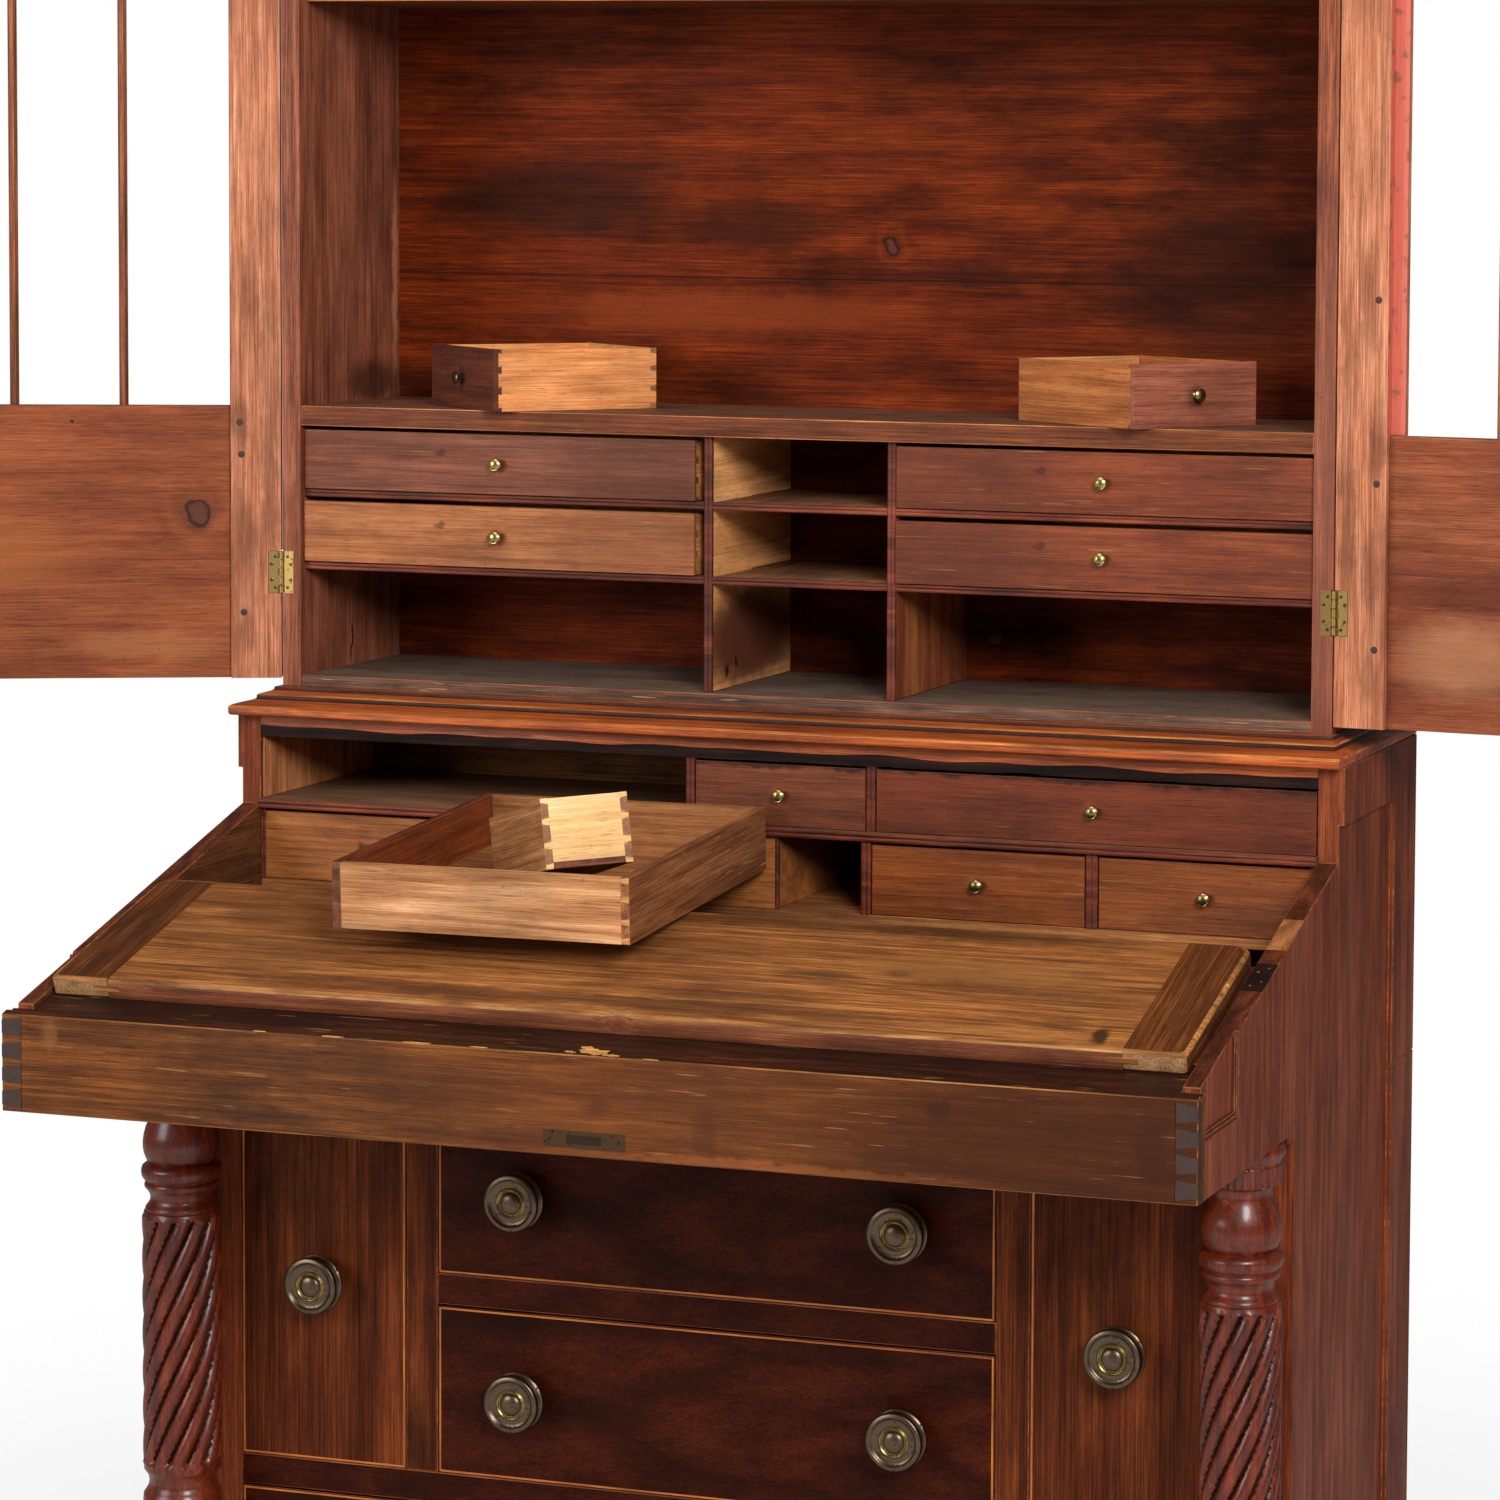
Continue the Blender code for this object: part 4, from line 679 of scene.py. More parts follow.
def tray(mesh, half, depth, rise, walls, tails=3):
    """Drawer box with dovetails. Looks: 0 front, 1 sides, 2 back and bottom, 3 end grain."""
    wall_front, wall_side, wall_back, wall_floor = walls
    back = depth - wall_back
    block(mesh, (-half, 0, -rise), (half, wall_front, rise), 0)
    step = 2 * rise / tails
    for side in (1, -1):
        edge = -side * half
        block(mesh, (edge, wall_front, -rise), (edge + side * wall_side, depth, rise - 0.0010), 1)
        for index in range(tails):
            middle = -rise + step * (index + 0.5)
            tail(mesh, edge, -side, wall_front * 0.35, wall_front + 0.0002, middle - step * 0.30,
                 middle + step * 0.30, -step * 0.08, 1)
            tail(mesh, edge, -side, back, depth, middle - step * 0.16, middle + step * 0.16, step * 0.05, 3)
    inner = half - wall_side
    block(mesh, (-inner, back, -rise + 0.002), (inner, depth, rise - 0.002), 2)
    block(mesh, (-inner, wall_front, -rise + wall_floor * 0.4), (inner, back, -rise + wall_floor), 2)


def fitted_drawer(name, depth, walls, looks, arris, knobs, turning, knob_look):
    """Drawer in the case with its origin in the middle of its face, replacing the frame's plain one."""
    low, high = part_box(name)
    middle = Vector(((low.x + high.x) / 2, high.y - depth, (low.z + high.z) / 2))
    room = 0.0006 if turning is small_turning else 0.0
    half = (high.x - low.x) / 2 - room
    rise = (high.z - low.z) / 2 - room
    mesh = bmesh.new()
    tray(mesh, half, depth, rise, walls)
    body = name + "_body"
    place = Matrix.Translation(middle)
    finish(name + "_box", mesh, looks, body, place, arris, 4, stands_for=(name,))
    for index, x in enumerate(knobs):
        knob(name + "_knob_" + str(index + 1), turning, knob_look, body,
             place @ Matrix.Translation((x, 0, 0)))
    return half, rise, place, body


small_walls = (0.0085, 0.0065, 0.0065, 0.0060)
for index, (name, tones) in enumerate(drawer_board.items()):
    nest = name.startswith("nest")
    fitted_drawer(name, 0.1820 if nest else 0.2245, small_walls,
                  [front_board(name, tones, 45 + index), hidden_pine, bare_pine_across, pine_end,
                   worn_mahogany], 0.0006,
                  [0.012] if name == "row_two_drawer_left" else [0], small_turning, brass_knob)

large_walls = (0.0200, 0.0120, 0.0120, 0.0090)
string_inset = 0.0012
string_line = 0.0017
for name, knobs, look in (("centre_drawer_top", (-0.1895, 0.1895), flame_across),
                          ("centre_drawer_low", (-0.1895, 0.1895), flame_across),
                          ("side_drawer_left", (0.0,), flame_mahogany),
                          ("side_drawer_right", (0.0,), flame_mahogany),
                          ("long_drawer", (-0.330, 0.330), flame_across)):
    half, rise, place, body = fitted_drawer(
        name, 0.3380, large_walls, [look, brown_pine, brown_pine_across, pine_end, worn_mahogany], 0.0008,
        knobs,
        large_turning, old_brass)
    mesh = bmesh.new()
    across, up = half - string_inset, rise - string_inset
    for end in (-1, 1):
        block(mesh, (end * across, -0.0002, -up), (end * (across - string_line), 0.001, up), 0)
    for end in (-1, 1):
        block(mesh, (-across + string_line, -0.0002, end * up),
              (across - string_line, 0.001, end * (up - string_line)), 1)
    finish(name + "_string", mesh, [inlay_wood, inlay_across], body, place)


# Columns: bulb, double ring, cove and twelve reeds that climb to the right

column_radius = 0.0368
column_top = desk_bottom - 0.0003
cap = 0.135
spiral_top = column_top - 1.068 * cap
spiral_bottom = 0.290
spiral_pitch = 0.430
block_top = 0.180
cap_turning = ((0.000, 0.98), (0.030, 1.04), (0.060, 1.045), (0.085, 1.00), (0.100, 0.955), (0.125, 0.93),
               (0.140, 0.965), (0.155, 0.97), (0.250, 0.97), (0.262, 0.95), (0.272, 0.84), (0.285, 0.78),
               (0.320, 0.745), (0.355, 0.755), (0.400, 0.82), (0.450, 0.895), (0.500, 0.945), (0.550, 0.970),
               (0.590, 0.970), (0.630, 0.945), (0.665, 0.90), (0.690, 0.855), (0.698, 0.82), (0.706, 0.86),
               (0.712, 0.930), (0.724, 0.985), (0.745, 1.010), (0.770, 1.015), (0.795, 0.995), (0.812, 0.955),
               (0.822, 0.895), (0.830, 0.885), (0.838, 0.915), (0.852, 0.935), (0.868, 0.930), (0.880, 0.900),
               (0.895, 0.850), (0.920, 0.800), (0.945, 0.785), (0.970, 0.800), (0.990, 0.845), (1.008, 0.900),
               (1.022, 0.915), (1.034, 0.905), (1.040, 0.945), (1.062, 0.965))
low_turning = ((0.030, 0.975), (0.055, 0.975), (0.075, 0.93), (0.11, 0.865), (0.16, 0.84), (0.20, 0.86),
               (0.24, 0.92),
               (0.27, 0.985), (0.32, 1.0), (0.385, 1.0), (0.42, 0.985), (0.435, 0.90), (0.46, 0.86),
               (0.50, 0.85),
               (0.60, 0.875), (0.70, 0.92), (0.78, 0.985), (0.82, 1.0), (1.02, 1.0))
foot_turning = ((0.000, 0.62), (0.03, 0.78), (0.10, 0.92), (0.22, 1.03), (0.36, 1.15), (0.50, 1.22),
                (0.62, 1.18),
                (0.74, 1.05), (0.80, 0.96), (0.83, 1.0), (0.90, 1.0), (0.93, 0.82), (1.02, 0.80))


def reed_wave(angle, height):
    """Height across a reed: 0 in the groove and 1 on the round."""
    return abs(math.sin(6 * (angle - 2 * math.pi * height / spiral_pitch)))


def column_reach(width, height, angle):
    """Cuts the climbing reeds into the shaft and short upright ones into the cap's collar."""
    if spiral_bottom - 0.0005 <= height <= spiral_top - 0.0005:
        fade = min((spiral_top - height) / 0.004, (height - spiral_bottom) / 0.004, 1.0)
        return width - 0.0066 * max(fade, 0.0) * (1 - reed_wave(angle, height) ** 0.7)
    if 0.145 < (column_top - height) / cap < 0.258:
        return width - 0.0026 * (1 - abs(math.sin(17 * angle)) ** 0.6)
    return width


def column(side):
    profile = [(column_radius * share, column_top - cap * drop) for drop, share in cap_turning]
    steps = 110
    for step in range(steps + 1):
        height = spiral_top - 0.001 - (spiral_top - spiral_bottom - 0.001) * step / steps
        profile.append((column_radius * 0.999, height))
    profile += [(column_radius * share, spiral_bottom - (spiral_bottom - block_top) * drop)
                for drop, share in low_turning]
    mesh = bmesh.new()
    turned(mesh, profile, 144, reach=column_reach)
    # Faces in the grooves between the reeds take the second look, painted shade
    for face in mesh.faces:
        spot = face.calc_center_median()
        if spiral_bottom + 0.004 < spot.z < spiral_top - 0.003:
            face.material_index = 1 if reed_wave(math.atan2(spot.y, spot.x), spot.z) < 0.34 else 0
    half = 0.037
    block(mesh, (-half, -half, 0.082), (half, half, block_top), 0)
    turned(mesh, [(0.030 * share, 0.084 * height) for height, share in foot_turning], 48)
    name = "column_" + hand[side]
    finish(name + "_turning", mesh, [turned_mahogany, groove_painted_shade], "case",
           in_case @ Matrix.Translation((side * 0.520, -0.2245, 0)), smooth=True, stands_for=(name,))


column(-1)
column(1)


# Waist moulding and the scorched strip under it

waist_shape = ((0.00, 0.955), (0.03, 0.975), (0.08, 0.995), (0.14, 1.0), (0.33, 1.0), (0.38, 0.985),
               (0.42, 0.95),
               (0.455, 0.89), (0.485, 0.80), (0.51, 0.70), (0.535, 0.60), (0.56, 0.53), (0.59, 0.495),
               (0.62, 0.485),
               (0.72, 0.48), (0.755, 0.46), (0.785, 0.40), (0.81, 0.32), (0.84, 0.235), (0.865, 0.19),
               (0.90, 0.165),
               (1.0, 0.155))
# Levels of the rounds take look 1, rubbed with a painted highlight; levels of the hollows take look 2,
# painted shade
waist_looks = {4: 1, 5: 1, 14: 1, 15: 1, 11: 2, 12: 2, 13: 2, 19: 2, 20: 2}


def waist():
    """Moulding swept round the front and both ends: rubbed rounds lighter with a painted highlight, painted
    shade in the hollows.
    """
    mesh = bmesh.new()
    rings = []
    for height, share in waist_shape:
        x = book_half + 0.025 * share
        y = -0.0636 * share
        path = [(-x, case_back), (-x, y)] + [(-x + 2 * x * step / 90, y) for step in range(1, 90)]
        path += [(x, y), (x, case_back)]
        ring = []
        for px, py in path:
            nick = abs(0.0005 * noise.noise(Vector((px * 40, height * 3, 1.0)))) if py == y else 0
            ring.append(mesh.verts.new((px, py + nick, 0.9773 + 0.0231 * height)))
        rings.append(ring)
    last = len(rings[0]) - 1
    skin(mesh, rings, lambda level, index: waist_looks.get(level, 0) if index < last else 0)
    finish("waist_moulding", mesh, [waist_wood, waist_rubbed_and_highlight, waist_painted_shade], "case",
           stands_for=("waist_board",))

    mesh = bmesh.new()
    stations = [-0.535 + 1.070 * step / 160 for step in range(161)]
    burns = [0.0026 * max(noise.noise(Vector((x * 22, 4.0, 0))),
                          0) + 0.0008 * noise.noise(Vector((x * 120, 9.0, 0)))
             for x in stations]
    edges = [[0.9561 + max(burn, 0) for burn in burns],
             [0.9660 + 0.004 * noise.noise(Vector((x * 14, 2.0, 0))) for x in stations],
             [0.9775] * len(stations)]
    for slot in range(2):
        rings = [[mesh.verts.new(spot) for spot in ((x, -0.0443, first), (x, -0.0443, last),
                                                    (x, -0.0253, last),
                                                    (x, -0.0253, first))]
                 for x, first, last in zip(stations, edges[slot], edges[slot + 1])]
        skin(mesh, rings, lambda level, index: slot)
    finish("waist_strip", mesh, [scorched, waist_wood], "case")


waist()


# Beaded edges of the desk's drawer rows

def beads(count, low, high, face, proud):
    """Outline points (across, height) of side-by-side half-round beads from low to high."""
    points = []
    pitch = (high - low) / count
    for index in range(count):
        for step in range(7):
            angle = math.pi * step / 6
            points.append((face - proud * math.sin(angle),
                           low + pitch * (index + 0.5 - 0.5 * math.cos(angle))))
    return points


def upright_beads(mesh, count, x, half, face, proud, deep, low, high):
    """Beaded strip on the front edge of an upright, from low to high."""
    outline = [(across, front) for front, across in beads(count, x - half, x + half, face, proud)]
    prism(mesh, outline + [(x + half, face + deep), (x - half, face + deep)], "Z", (low, high))


def beaded_boards():
    """Beads on the desk's rows and on the bookcase's shelves and dividers, and a pale sheet on the bay's left
    wall that paints the light falling there.
    """
    mesh = bmesh.new()
    low, high, far = 0.8858, 0.8946, 0.1876
    outline = beads(2, low, high, row_front - 0.0060 + 0.0014, 0.0014) + [(far, high), (far, low)]
    stations = [-0.535 + 1.070 * step / 60 for step in range(61)]
    prism(mesh, outline, "X", stations, 0, [1] * 13 + [0, 0, 0], jitter=0.00025)
    finish("row_one_lip", mesh, [bay_floor_wood, nest_edge], "case", stands_for=("row_one_floor",))
    mesh = bmesh.new()
    # Pale sheet on the left wall of the row-one bay: painted light where the lamp shines into the bay
    block(mesh, (-inner_half, -0.0400, 0.8950), (-0.5336, 0.1850, 0.9557))
    finish("bay_painted_light_sheet", mesh, [bay_painted_light_sheet_wood], "case", arris=0.0003)

    mesh = bmesh.new()
    row_two = (0.8168, 0.8854)
    for x, width, low, high in ((-0.0808, 0.0087, 0.8950, 0.9556), (0.1019, 0.0087, 0.8950, 0.9556),
                                (0.0974, 0.0097, *row_two), (0.3200, 0.0115, *row_two),
                                (0.5323, 0.0060, *row_two),
                                (-0.5323, 0.0060, *row_two)):
        upright_beads(mesh, 2, x, width / 2, row_front, 0.0012, 0.004, low, high)
    for x in (-0.3210, 0.0077):
        upright_beads(mesh, 1, x, 0.0018, row_front, 0.0010, 0.003, *row_two)
    finish("row_beads", mesh, [nest_edge], "case")

    mesh = bmesh.new()
    for x in (-0.0863, 0.1007):
        upright_beads(mesh, 2, x, 0.00415, 0.0090, 0.0010, 0.003, 1.0125, 1.2573)
    for z in (1.1160, 1.1875):
        for low_x, high_x in ((-0.5150, -0.0907), (-0.0819, 0.0963), (0.1051, 0.5150)):
            outline = beads(2, z, z + 0.0072, 0.0090, 0.0009) + [(0.012, z + 0.0072), (0.012, z)]
            prism(mesh, outline, "X", (low_x, high_x))
    finish("nest_beads", mesh, [nest_edge], "case")


beaded_boards()


# Doors: modelled closed with X from the hinge axis, then turned

door_low = 1.0079
door_high = 2.0479
door_front = -0.0205
door_back = -0.0005
board_top = 1.2763
board_joint = 1.1496
light_head = door_high - 0.0650
light_spring = light_head - 0.095
bars = (0.1522, 0.2563, 0.3604)
bar_half = 0.0043
bar_neck = 0.0022
stile_edge = 0.0489
meeting_edge = 0.4679
hinge_land = 0.0130
plate_back = -0.0125
open_angle = {-1: -154.8, 1: 175.4}
rebate_width = {-1: 0.0012, 1: 0.0135}
peg_spots = {-1: ((0.0400, 1.2601), (0.0385, 1.2286), (0.0366, 1.0730)),
             1: ((0.0395, 1.2323), (0.0390, 1.0807), (0.0395, 1.3994))}
hinge_heights = {"low": 0.08, "high": 0.92}


def hinge_line(side):
    return in_case @ Matrix.Translation((side * hinge_axis, 0, 0))


def hung(side):
    """Place of an open door."""
    return hinge_line(side) @ Matrix.Rotation(math.radians(open_angle[side]), 4, "Z")


def arch(near, far):
    """Pointed head of one light, from the near foot over the point to the far foot."""
    width = far - near
    rise = light_head - light_spring
    radius = (rise * rise + width * width / 4) / width
    last = math.asin(rise / radius)
    turns = [last * step / 14 for step in range(15)]
    left = [(near + radius - radius * math.cos(turn),
             light_spring + radius * math.sin(turn)) for turn in turns]
    right = [(far - radius + radius * math.cos(turn),
              light_spring + radius * math.sin(turn)) for turn in turns[-2::-1]]
    return left + right


def door(side):
    """Door frame with arched lights and bars, red paint in the right door's rebates and a dark film of
    painted shade in the left door's, the board below and the pegs.
    """
    name = "door_" + hand[side]
    body = name + "_body"
    place = hung(side)
    rebate = rebate_width[side]
    head = light_head + rebate
    crown = head + 0.001
    front, back = door_front, door_back
    mesh = bmesh.new()

    def slab(near, far, y0, y1, z0, z1, slot=0):
        block(mesh, (-side * near, y0, z0), (-side * far, y1, z1), slot)

    slab(hinge_land, stile_edge, front, back, door_low, door_high)
    cuts = [book_floor + height + end for height in hinge_heights.values() for end in (-0.0003, 0.0417)]
    marks = [door_low, *cuts, door_high]
    for index, (z0, z1) in enumerate(zip(marks, marks[1:])):
        if index % 2:
            slab(0.0040, hinge_land, front, -0.0022, z0, z1)
        else:
            slab(0.0004, hinge_land, front, back, z0, z1)
    slab(meeting_edge, 0.5334, front, back, door_low, door_high)
    slab(stile_edge, meeting_edge, front, back, head, door_high, 1)
    slab(stile_edge, stile_edge + rebate, front, plate_back, board_top, door_high - 0.05)
    slab(meeting_edge - rebate, meeting_edge, front, plate_back, board_top, door_high - 0.05)
    starts = [stile_edge + rebate] + [bar + bar_half for bar in bars]
    ends = [bar - bar_half for bar in bars] + [meeting_edge - rebate]
    for near, far in zip(starts, ends):
        outline = [(near, crown)] + arch(near, far) + [(far, crown)]
        middle = len(outline) // 2
        point = (outline[middle][0], crown)
        for part in (outline[:middle + 1] + [point], [point] + outline[middle:]):
            prism(mesh, [(-side * x, z) for x, z in part], "Y", (front, plate_back), 1)
    for bar in bars:
        outline = [(bar - bar_half, front), (bar + bar_half, front), (bar + bar_half, front + 0.0022),
                   (bar + bar_neck, front + 0.0046), (bar + bar_neck, plate_back),
                   (bar - bar_neck, plate_back),
                   (bar - bar_neck, front + 0.0046), (bar - bar_half, front + 0.0022)]
        prism(mesh, [(-side * x, y) for x, y in outline], "Z", (board_top - 0.002, light_head), 2)
    finish(name + "_joinery", mesh, [stile_wood, stile_across, bar_wood, worn_rail], body, place,
           0.0007, 3,
           stands_for=("door_frame_" + hand[side],))

    mesh = bmesh.new()
    film = 0.0002
    foot = board_top + 0.0004
    for edge, way in ((stile_edge, 1), (meeting_edge, -1)):
        slab(edge, edge + way * film, plate_back, back - 0.0003, foot, light_head + 0.010)
        slab(edge, edge + way * rebate, plate_back, plate_back + film, foot, light_head)
    slab(stile_edge, meeting_edge, plate_back, back - 0.0004, head - film, head)
    if side > 0:
        for line in (stile_edge + 0.0042, stile_edge + 0.0078):
            slab(line, line + 0.0004, plate_back, plate_back + 0.0005, foot, light_head)
    # The right door's rebate film is red paint; the left door's is joint_shadow, painted shade along the
    # stile's edge
    finish(name + "_rebate_film", mesh, [red_paint if side > 0 else joint_shadow], body, place)

    mesh = bmesh.new()
    slab(stile_edge + 0.0004, meeting_edge - 0.0004, front, -0.0072, door_low, board_top - 0.0003)
    finish(name + "_board", mesh, [right_board_wood if side > 0 else left_board_wood, worn_rail], body,
           place, 0.0007, 1, stands_for=("door_board_" + hand[side],))

    mesh = bmesh.new()
    if side > 0:
        slab(stile_edge + 0.001, meeting_edge - 0.001, -0.0074, -0.0071, board_joint, board_joint + 0.0006)
    for x, z in peg_spots[side]:
        turned(mesh, [(0.0034, -0.001), (0.0034, 0.0002), (0.0028, 0.0004)], 12,
               Matrix.Translation((-side * x, back, z)) @ inward)
    finish(name + "_pegs", mesh, [peg_end], body, place, smooth=True)


door(-1)
door(1)


# Hinges: five knuckles on a pin, countersunk screws in each leaf

leaf_tall = 0.0414


def screw(mesh, place):
    """Slotted screw head let in flush: a dished ring and the dark slot across it."""
    turned(mesh, [(0.0019, -0.0006), (0.0019, 0.00015), (0.0016, 0.0003), (0.0004, 0.00034)], 14, place, 1)
    corner = place @ Matrix.Rotation(math.radians(35), 4, "Z")
    block(mesh, (-0.0015, -0.0002, 0.0002), (0.0015, 0.0002, 0.0004), 2, corner)


def leaf(side, height, level, on_door):
    """One leaf with its knuckles. The door's leaf has three of them and the pin."""
    low = book_floor + height
    share = leaf_tall / 5
    y0, y1 = (-0.0018, -0.0008) if on_door else (-0.0001, 0.0006)
    mesh = bmesh.new()
    block(mesh, (-side * 0.0030, y0, low), (-side * 0.0125, y1, low + leaf_tall))
    for index in range(0 if on_door else 1, 5, 2):
        z0 = low + share * index + 0.0002
        z1 = low + share * (index + 1) - 0.0002
        turned(mesh, [(0.0022, z0), (0.0026, z0 + 0.0003), (0.0026, z1 - 0.0003), (0.0022, z1)], 20)
        block(mesh, (-side * 0.0008, y0 if on_door else 0.0, z0), (-side * 0.0040, y1, z1))
    if on_door:
        turned(mesh, [(0.0012, low), (0.0012, low + leaf_tall)], 12)
    facing, face_y = (inward, y1 - 0.0002) if on_door else (outward, y0 + 0.0002)
    for x, z in ((0.0062, 0.0055), (0.0098, 0.0130), (0.0098, leaf_tall - 0.0130),
                 (0.0062, leaf_tall - 0.0055)):
        screw(mesh, Matrix.Translation((-side * x, face_y, low + z)) @ facing)
    name = "hinge_" + hand[side] + "_" + level
    looks = [hinge_brass, old_brass, dark_iron]
    if on_door:
        finish(name + "_door_leaf", mesh, looks, "door_" + hand[side] + "_body", hung(side),
               smooth=True,
               stands_for=(name,))
    else:
        finish(name + "_case_leaf", mesh, looks, "case", hinge_line(side), smooth=True)


for side in (-1, 1):
    for level, height in hinge_heights.items():
        leaf(side, height, level, True)
        leaf(side, height, level, False)


# Writing board with its clamped ends

lid_length = 0.204
field_half = 0.4750
lid_place = in_case @ Matrix.Translation((0, lid_rear_y, lid_rear_z)) @ Matrix.Rotation(slope_angle, 4, "X")
field_looks = (2, 2, 2, 1, 1, 0, 0, 2, 2, 2)


def lid_field():
    """Board with a bitten front edge, its upper arris worn down in waves."""
    near, top = -lid_length, lid_thickness
    mesh = bmesh.new()
    rings = []
    for step in range(151):
        x = -field_half + 2 * field_half * step / 150
        bite = 0.0052 * math.exp(-((x - 0.0195) / 0.012) ** 2) + 0.0008 * abs(noise.noise(Vector((x * 45, 1,
                                                                                                  5))))
        drop = 0.0006 * noise.noise(Vector((x * 9, 3, 5))) - 0.0004
        outline = ((near + 0.0006, 0.0), (near + bite * 0.3, 0.0035), (near + bite * 0.5, top - 0.0055),
                   (near + 0.0012 + bite, top - 0.0030), (near + 0.0030 + bite, top - 0.0010 + drop),
                   (near + 0.0070 + bite, top - 0.0001 + drop * 0.5), (-0.0050, top - 0.0001),
                   (-0.0020, top - 0.0006), (-0.0003, top - 0.0025), (0.0, 0.0))
        rings.append([mesh.verts.new((x, y, z)) for y, z in outline])
    skin(mesh, rings, lambda level, index: field_looks[index], 2)
    finish("lid_field", mesh, [lid_wood, rubbed_oak, lid_edge_wood], "lid_body", lid_place,
           smooth=True, stands_for=("lid",))


def lid_end(side):
    """Clamped end, its grain across the board's, with one corner rounded and the upper arris worn."""
    near, far, front = field_half + 0.0004, 0.5318, -lid_length
    corner = 0.0145
    outline = [(near, front + 0.0008), (far - 0.004, front), (far - 0.001, front + 0.0025),
               (far, front + 0.006)]
    for step in range(9):
        angle = math.pi / 2 * step / 8
        outline.append((far - corner + corner * math.cos(angle), -corner + corner * math.sin(angle)))
    outline.append((near, 0.0))
    last = len(outline) - 1
    mesh = bmesh.new()
    rings = []
    for z, inset in ((0.0, 0.0012), (0.0015, 0.0), (0.0150, 0.0), (0.0168, 0.0008), (0.0177, 0.0022),
                     (0.0180, 0.0040)):
        ring = []
        for x, y in outline:
            wear = 0.0007 * noise.noise(Vector((side * x * 50, y * 50, z * 200)))
            across = x - inset + wear if x > near + 0.01 else x
            along = y + (inset if y < front + 0.004 else -inset if y > -0.008 else 0.0)
            ring.append(mesh.verts.new((side * min(across, far), max(min(along, 0), front), z)))
        rings.append(ring)
    skin(mesh, rings, lambda level, index: 1 if level >= 2 and index != last else 2 if index < 2 else 0)
    finish("lid_end_" + hand[side], mesh, [lid_end_wood, rubbed_oak, pine_end], "lid_body",
           lid_place,
           smooth=True)


def lid_tongues():
    """Tongues of the board showing in the clamped ends' front."""
    mesh = bmesh.new()
    for side in (1, -1):
        block(mesh, (side * (field_half - 0.012), -lid_length, 0.0062),
              (side * (field_half + 0.014), -lid_length + 0.003, 0.0122))
    finish("lid_tongues", mesh, [rubbed_oak], "lid_body", lid_place, 0.0006)


lid_field()
lid_end(-1)
lid_end(1)
lid_tongues()


# Loose drawers, dovetailed at both ends

def shelf_drawer(side, x, degrees, front_look, side_look, knob_look):
    """Small drawer turned on the thick shelf. Looks: 0 front, 1 sides, 2 back and bottom, 3 cut pins."""
    name = "loose_drawer_" + hand[side]
    body = name + "_body"
    width, depth, height = 0.1485, 0.1725, 0.0597
    front, wall = 0.0085, 0.0065
    right, back, top = width - wall, depth - wall, height - 0.0006
    mesh = bmesh.new()
    block(mesh, (0, 0, 0), (width, front, height), 0)
    block(mesh, (wall, back, 0.0015), (right, depth, top), 2)
    block(mesh, (0, front, 0), (wall, depth, top), 1)
    block(mesh, (right, front, 0), (width, depth, top), 1)
    block(mesh, (wall, front, 0.0018), (right, back, 0.006), 2)
    step = height / 3
    for edge, way in ((0, -1), (width, 1)):
        for index in range(3):
            middle = step * (index + 0.5)
            tail(mesh, edge, way, front * 0.60, front + 0.0001, middle - step * 0.30, middle + step * 0.30,
                 -step * 0.05, 1)
        for index in range(4):
            middle = min(max(step * index, step * 0.14), height - step * 0.14)
            tail(mesh, edge, way, back, depth - 0.0001, middle - step * 0.15, middle + step * 0.15,
                 step * 0.045, 3)
    if side < 0:
        bmesh.ops.translate(mesh, vec=(-width, 0, 0), verts=mesh.verts)
    turn = Matrix.Rotation(math.radians(degrees), 4, "Z")
    place = in_case @ Matrix.Translation((x, -0.0212, 1.2769 + seat_gap)) @ turn
    finish(name + "_box", mesh, [front_look, side_look, bare_pine_across, small_end], body, place,
           0.0006,
           stands_for=(name,))
    knob(name + "_knob", small_turning, knob_look, body,
         place @ Matrix.Translation((side * width / 2, 0, height / 2)))


shelf_drawer(-1, -0.2968, -40.0, left_front_wood, shelf_pine, old_brass)
shelf_drawer(1, 0.3489, 57.0, right_front_wood, shelf_pine_right, brass_knob)

big_wall = 0.008
big_height = 0.0595
big_y = -0.3817
big_turn = math.radians(1.59)
big_tilt = math.radians(3.12)
lid_edge_y = lid_rear_y - lid_thickness * math.sin(slope_angle)
lid_edge_z = lid_rear_z + lid_thickness * math.cos(slope_angle)
big_z = lid_edge_z + seat_gap - (lid_edge_y - big_y) / math.cos(big_turn) * math.tan(big_tilt)
big_place = (in_case @ Matrix.Translation((0.0097, big_y, big_z)) @ Matrix.Rotation(big_turn, 4, "Z")
             @ Matrix.Rotation(big_tilt, 4, "X"))


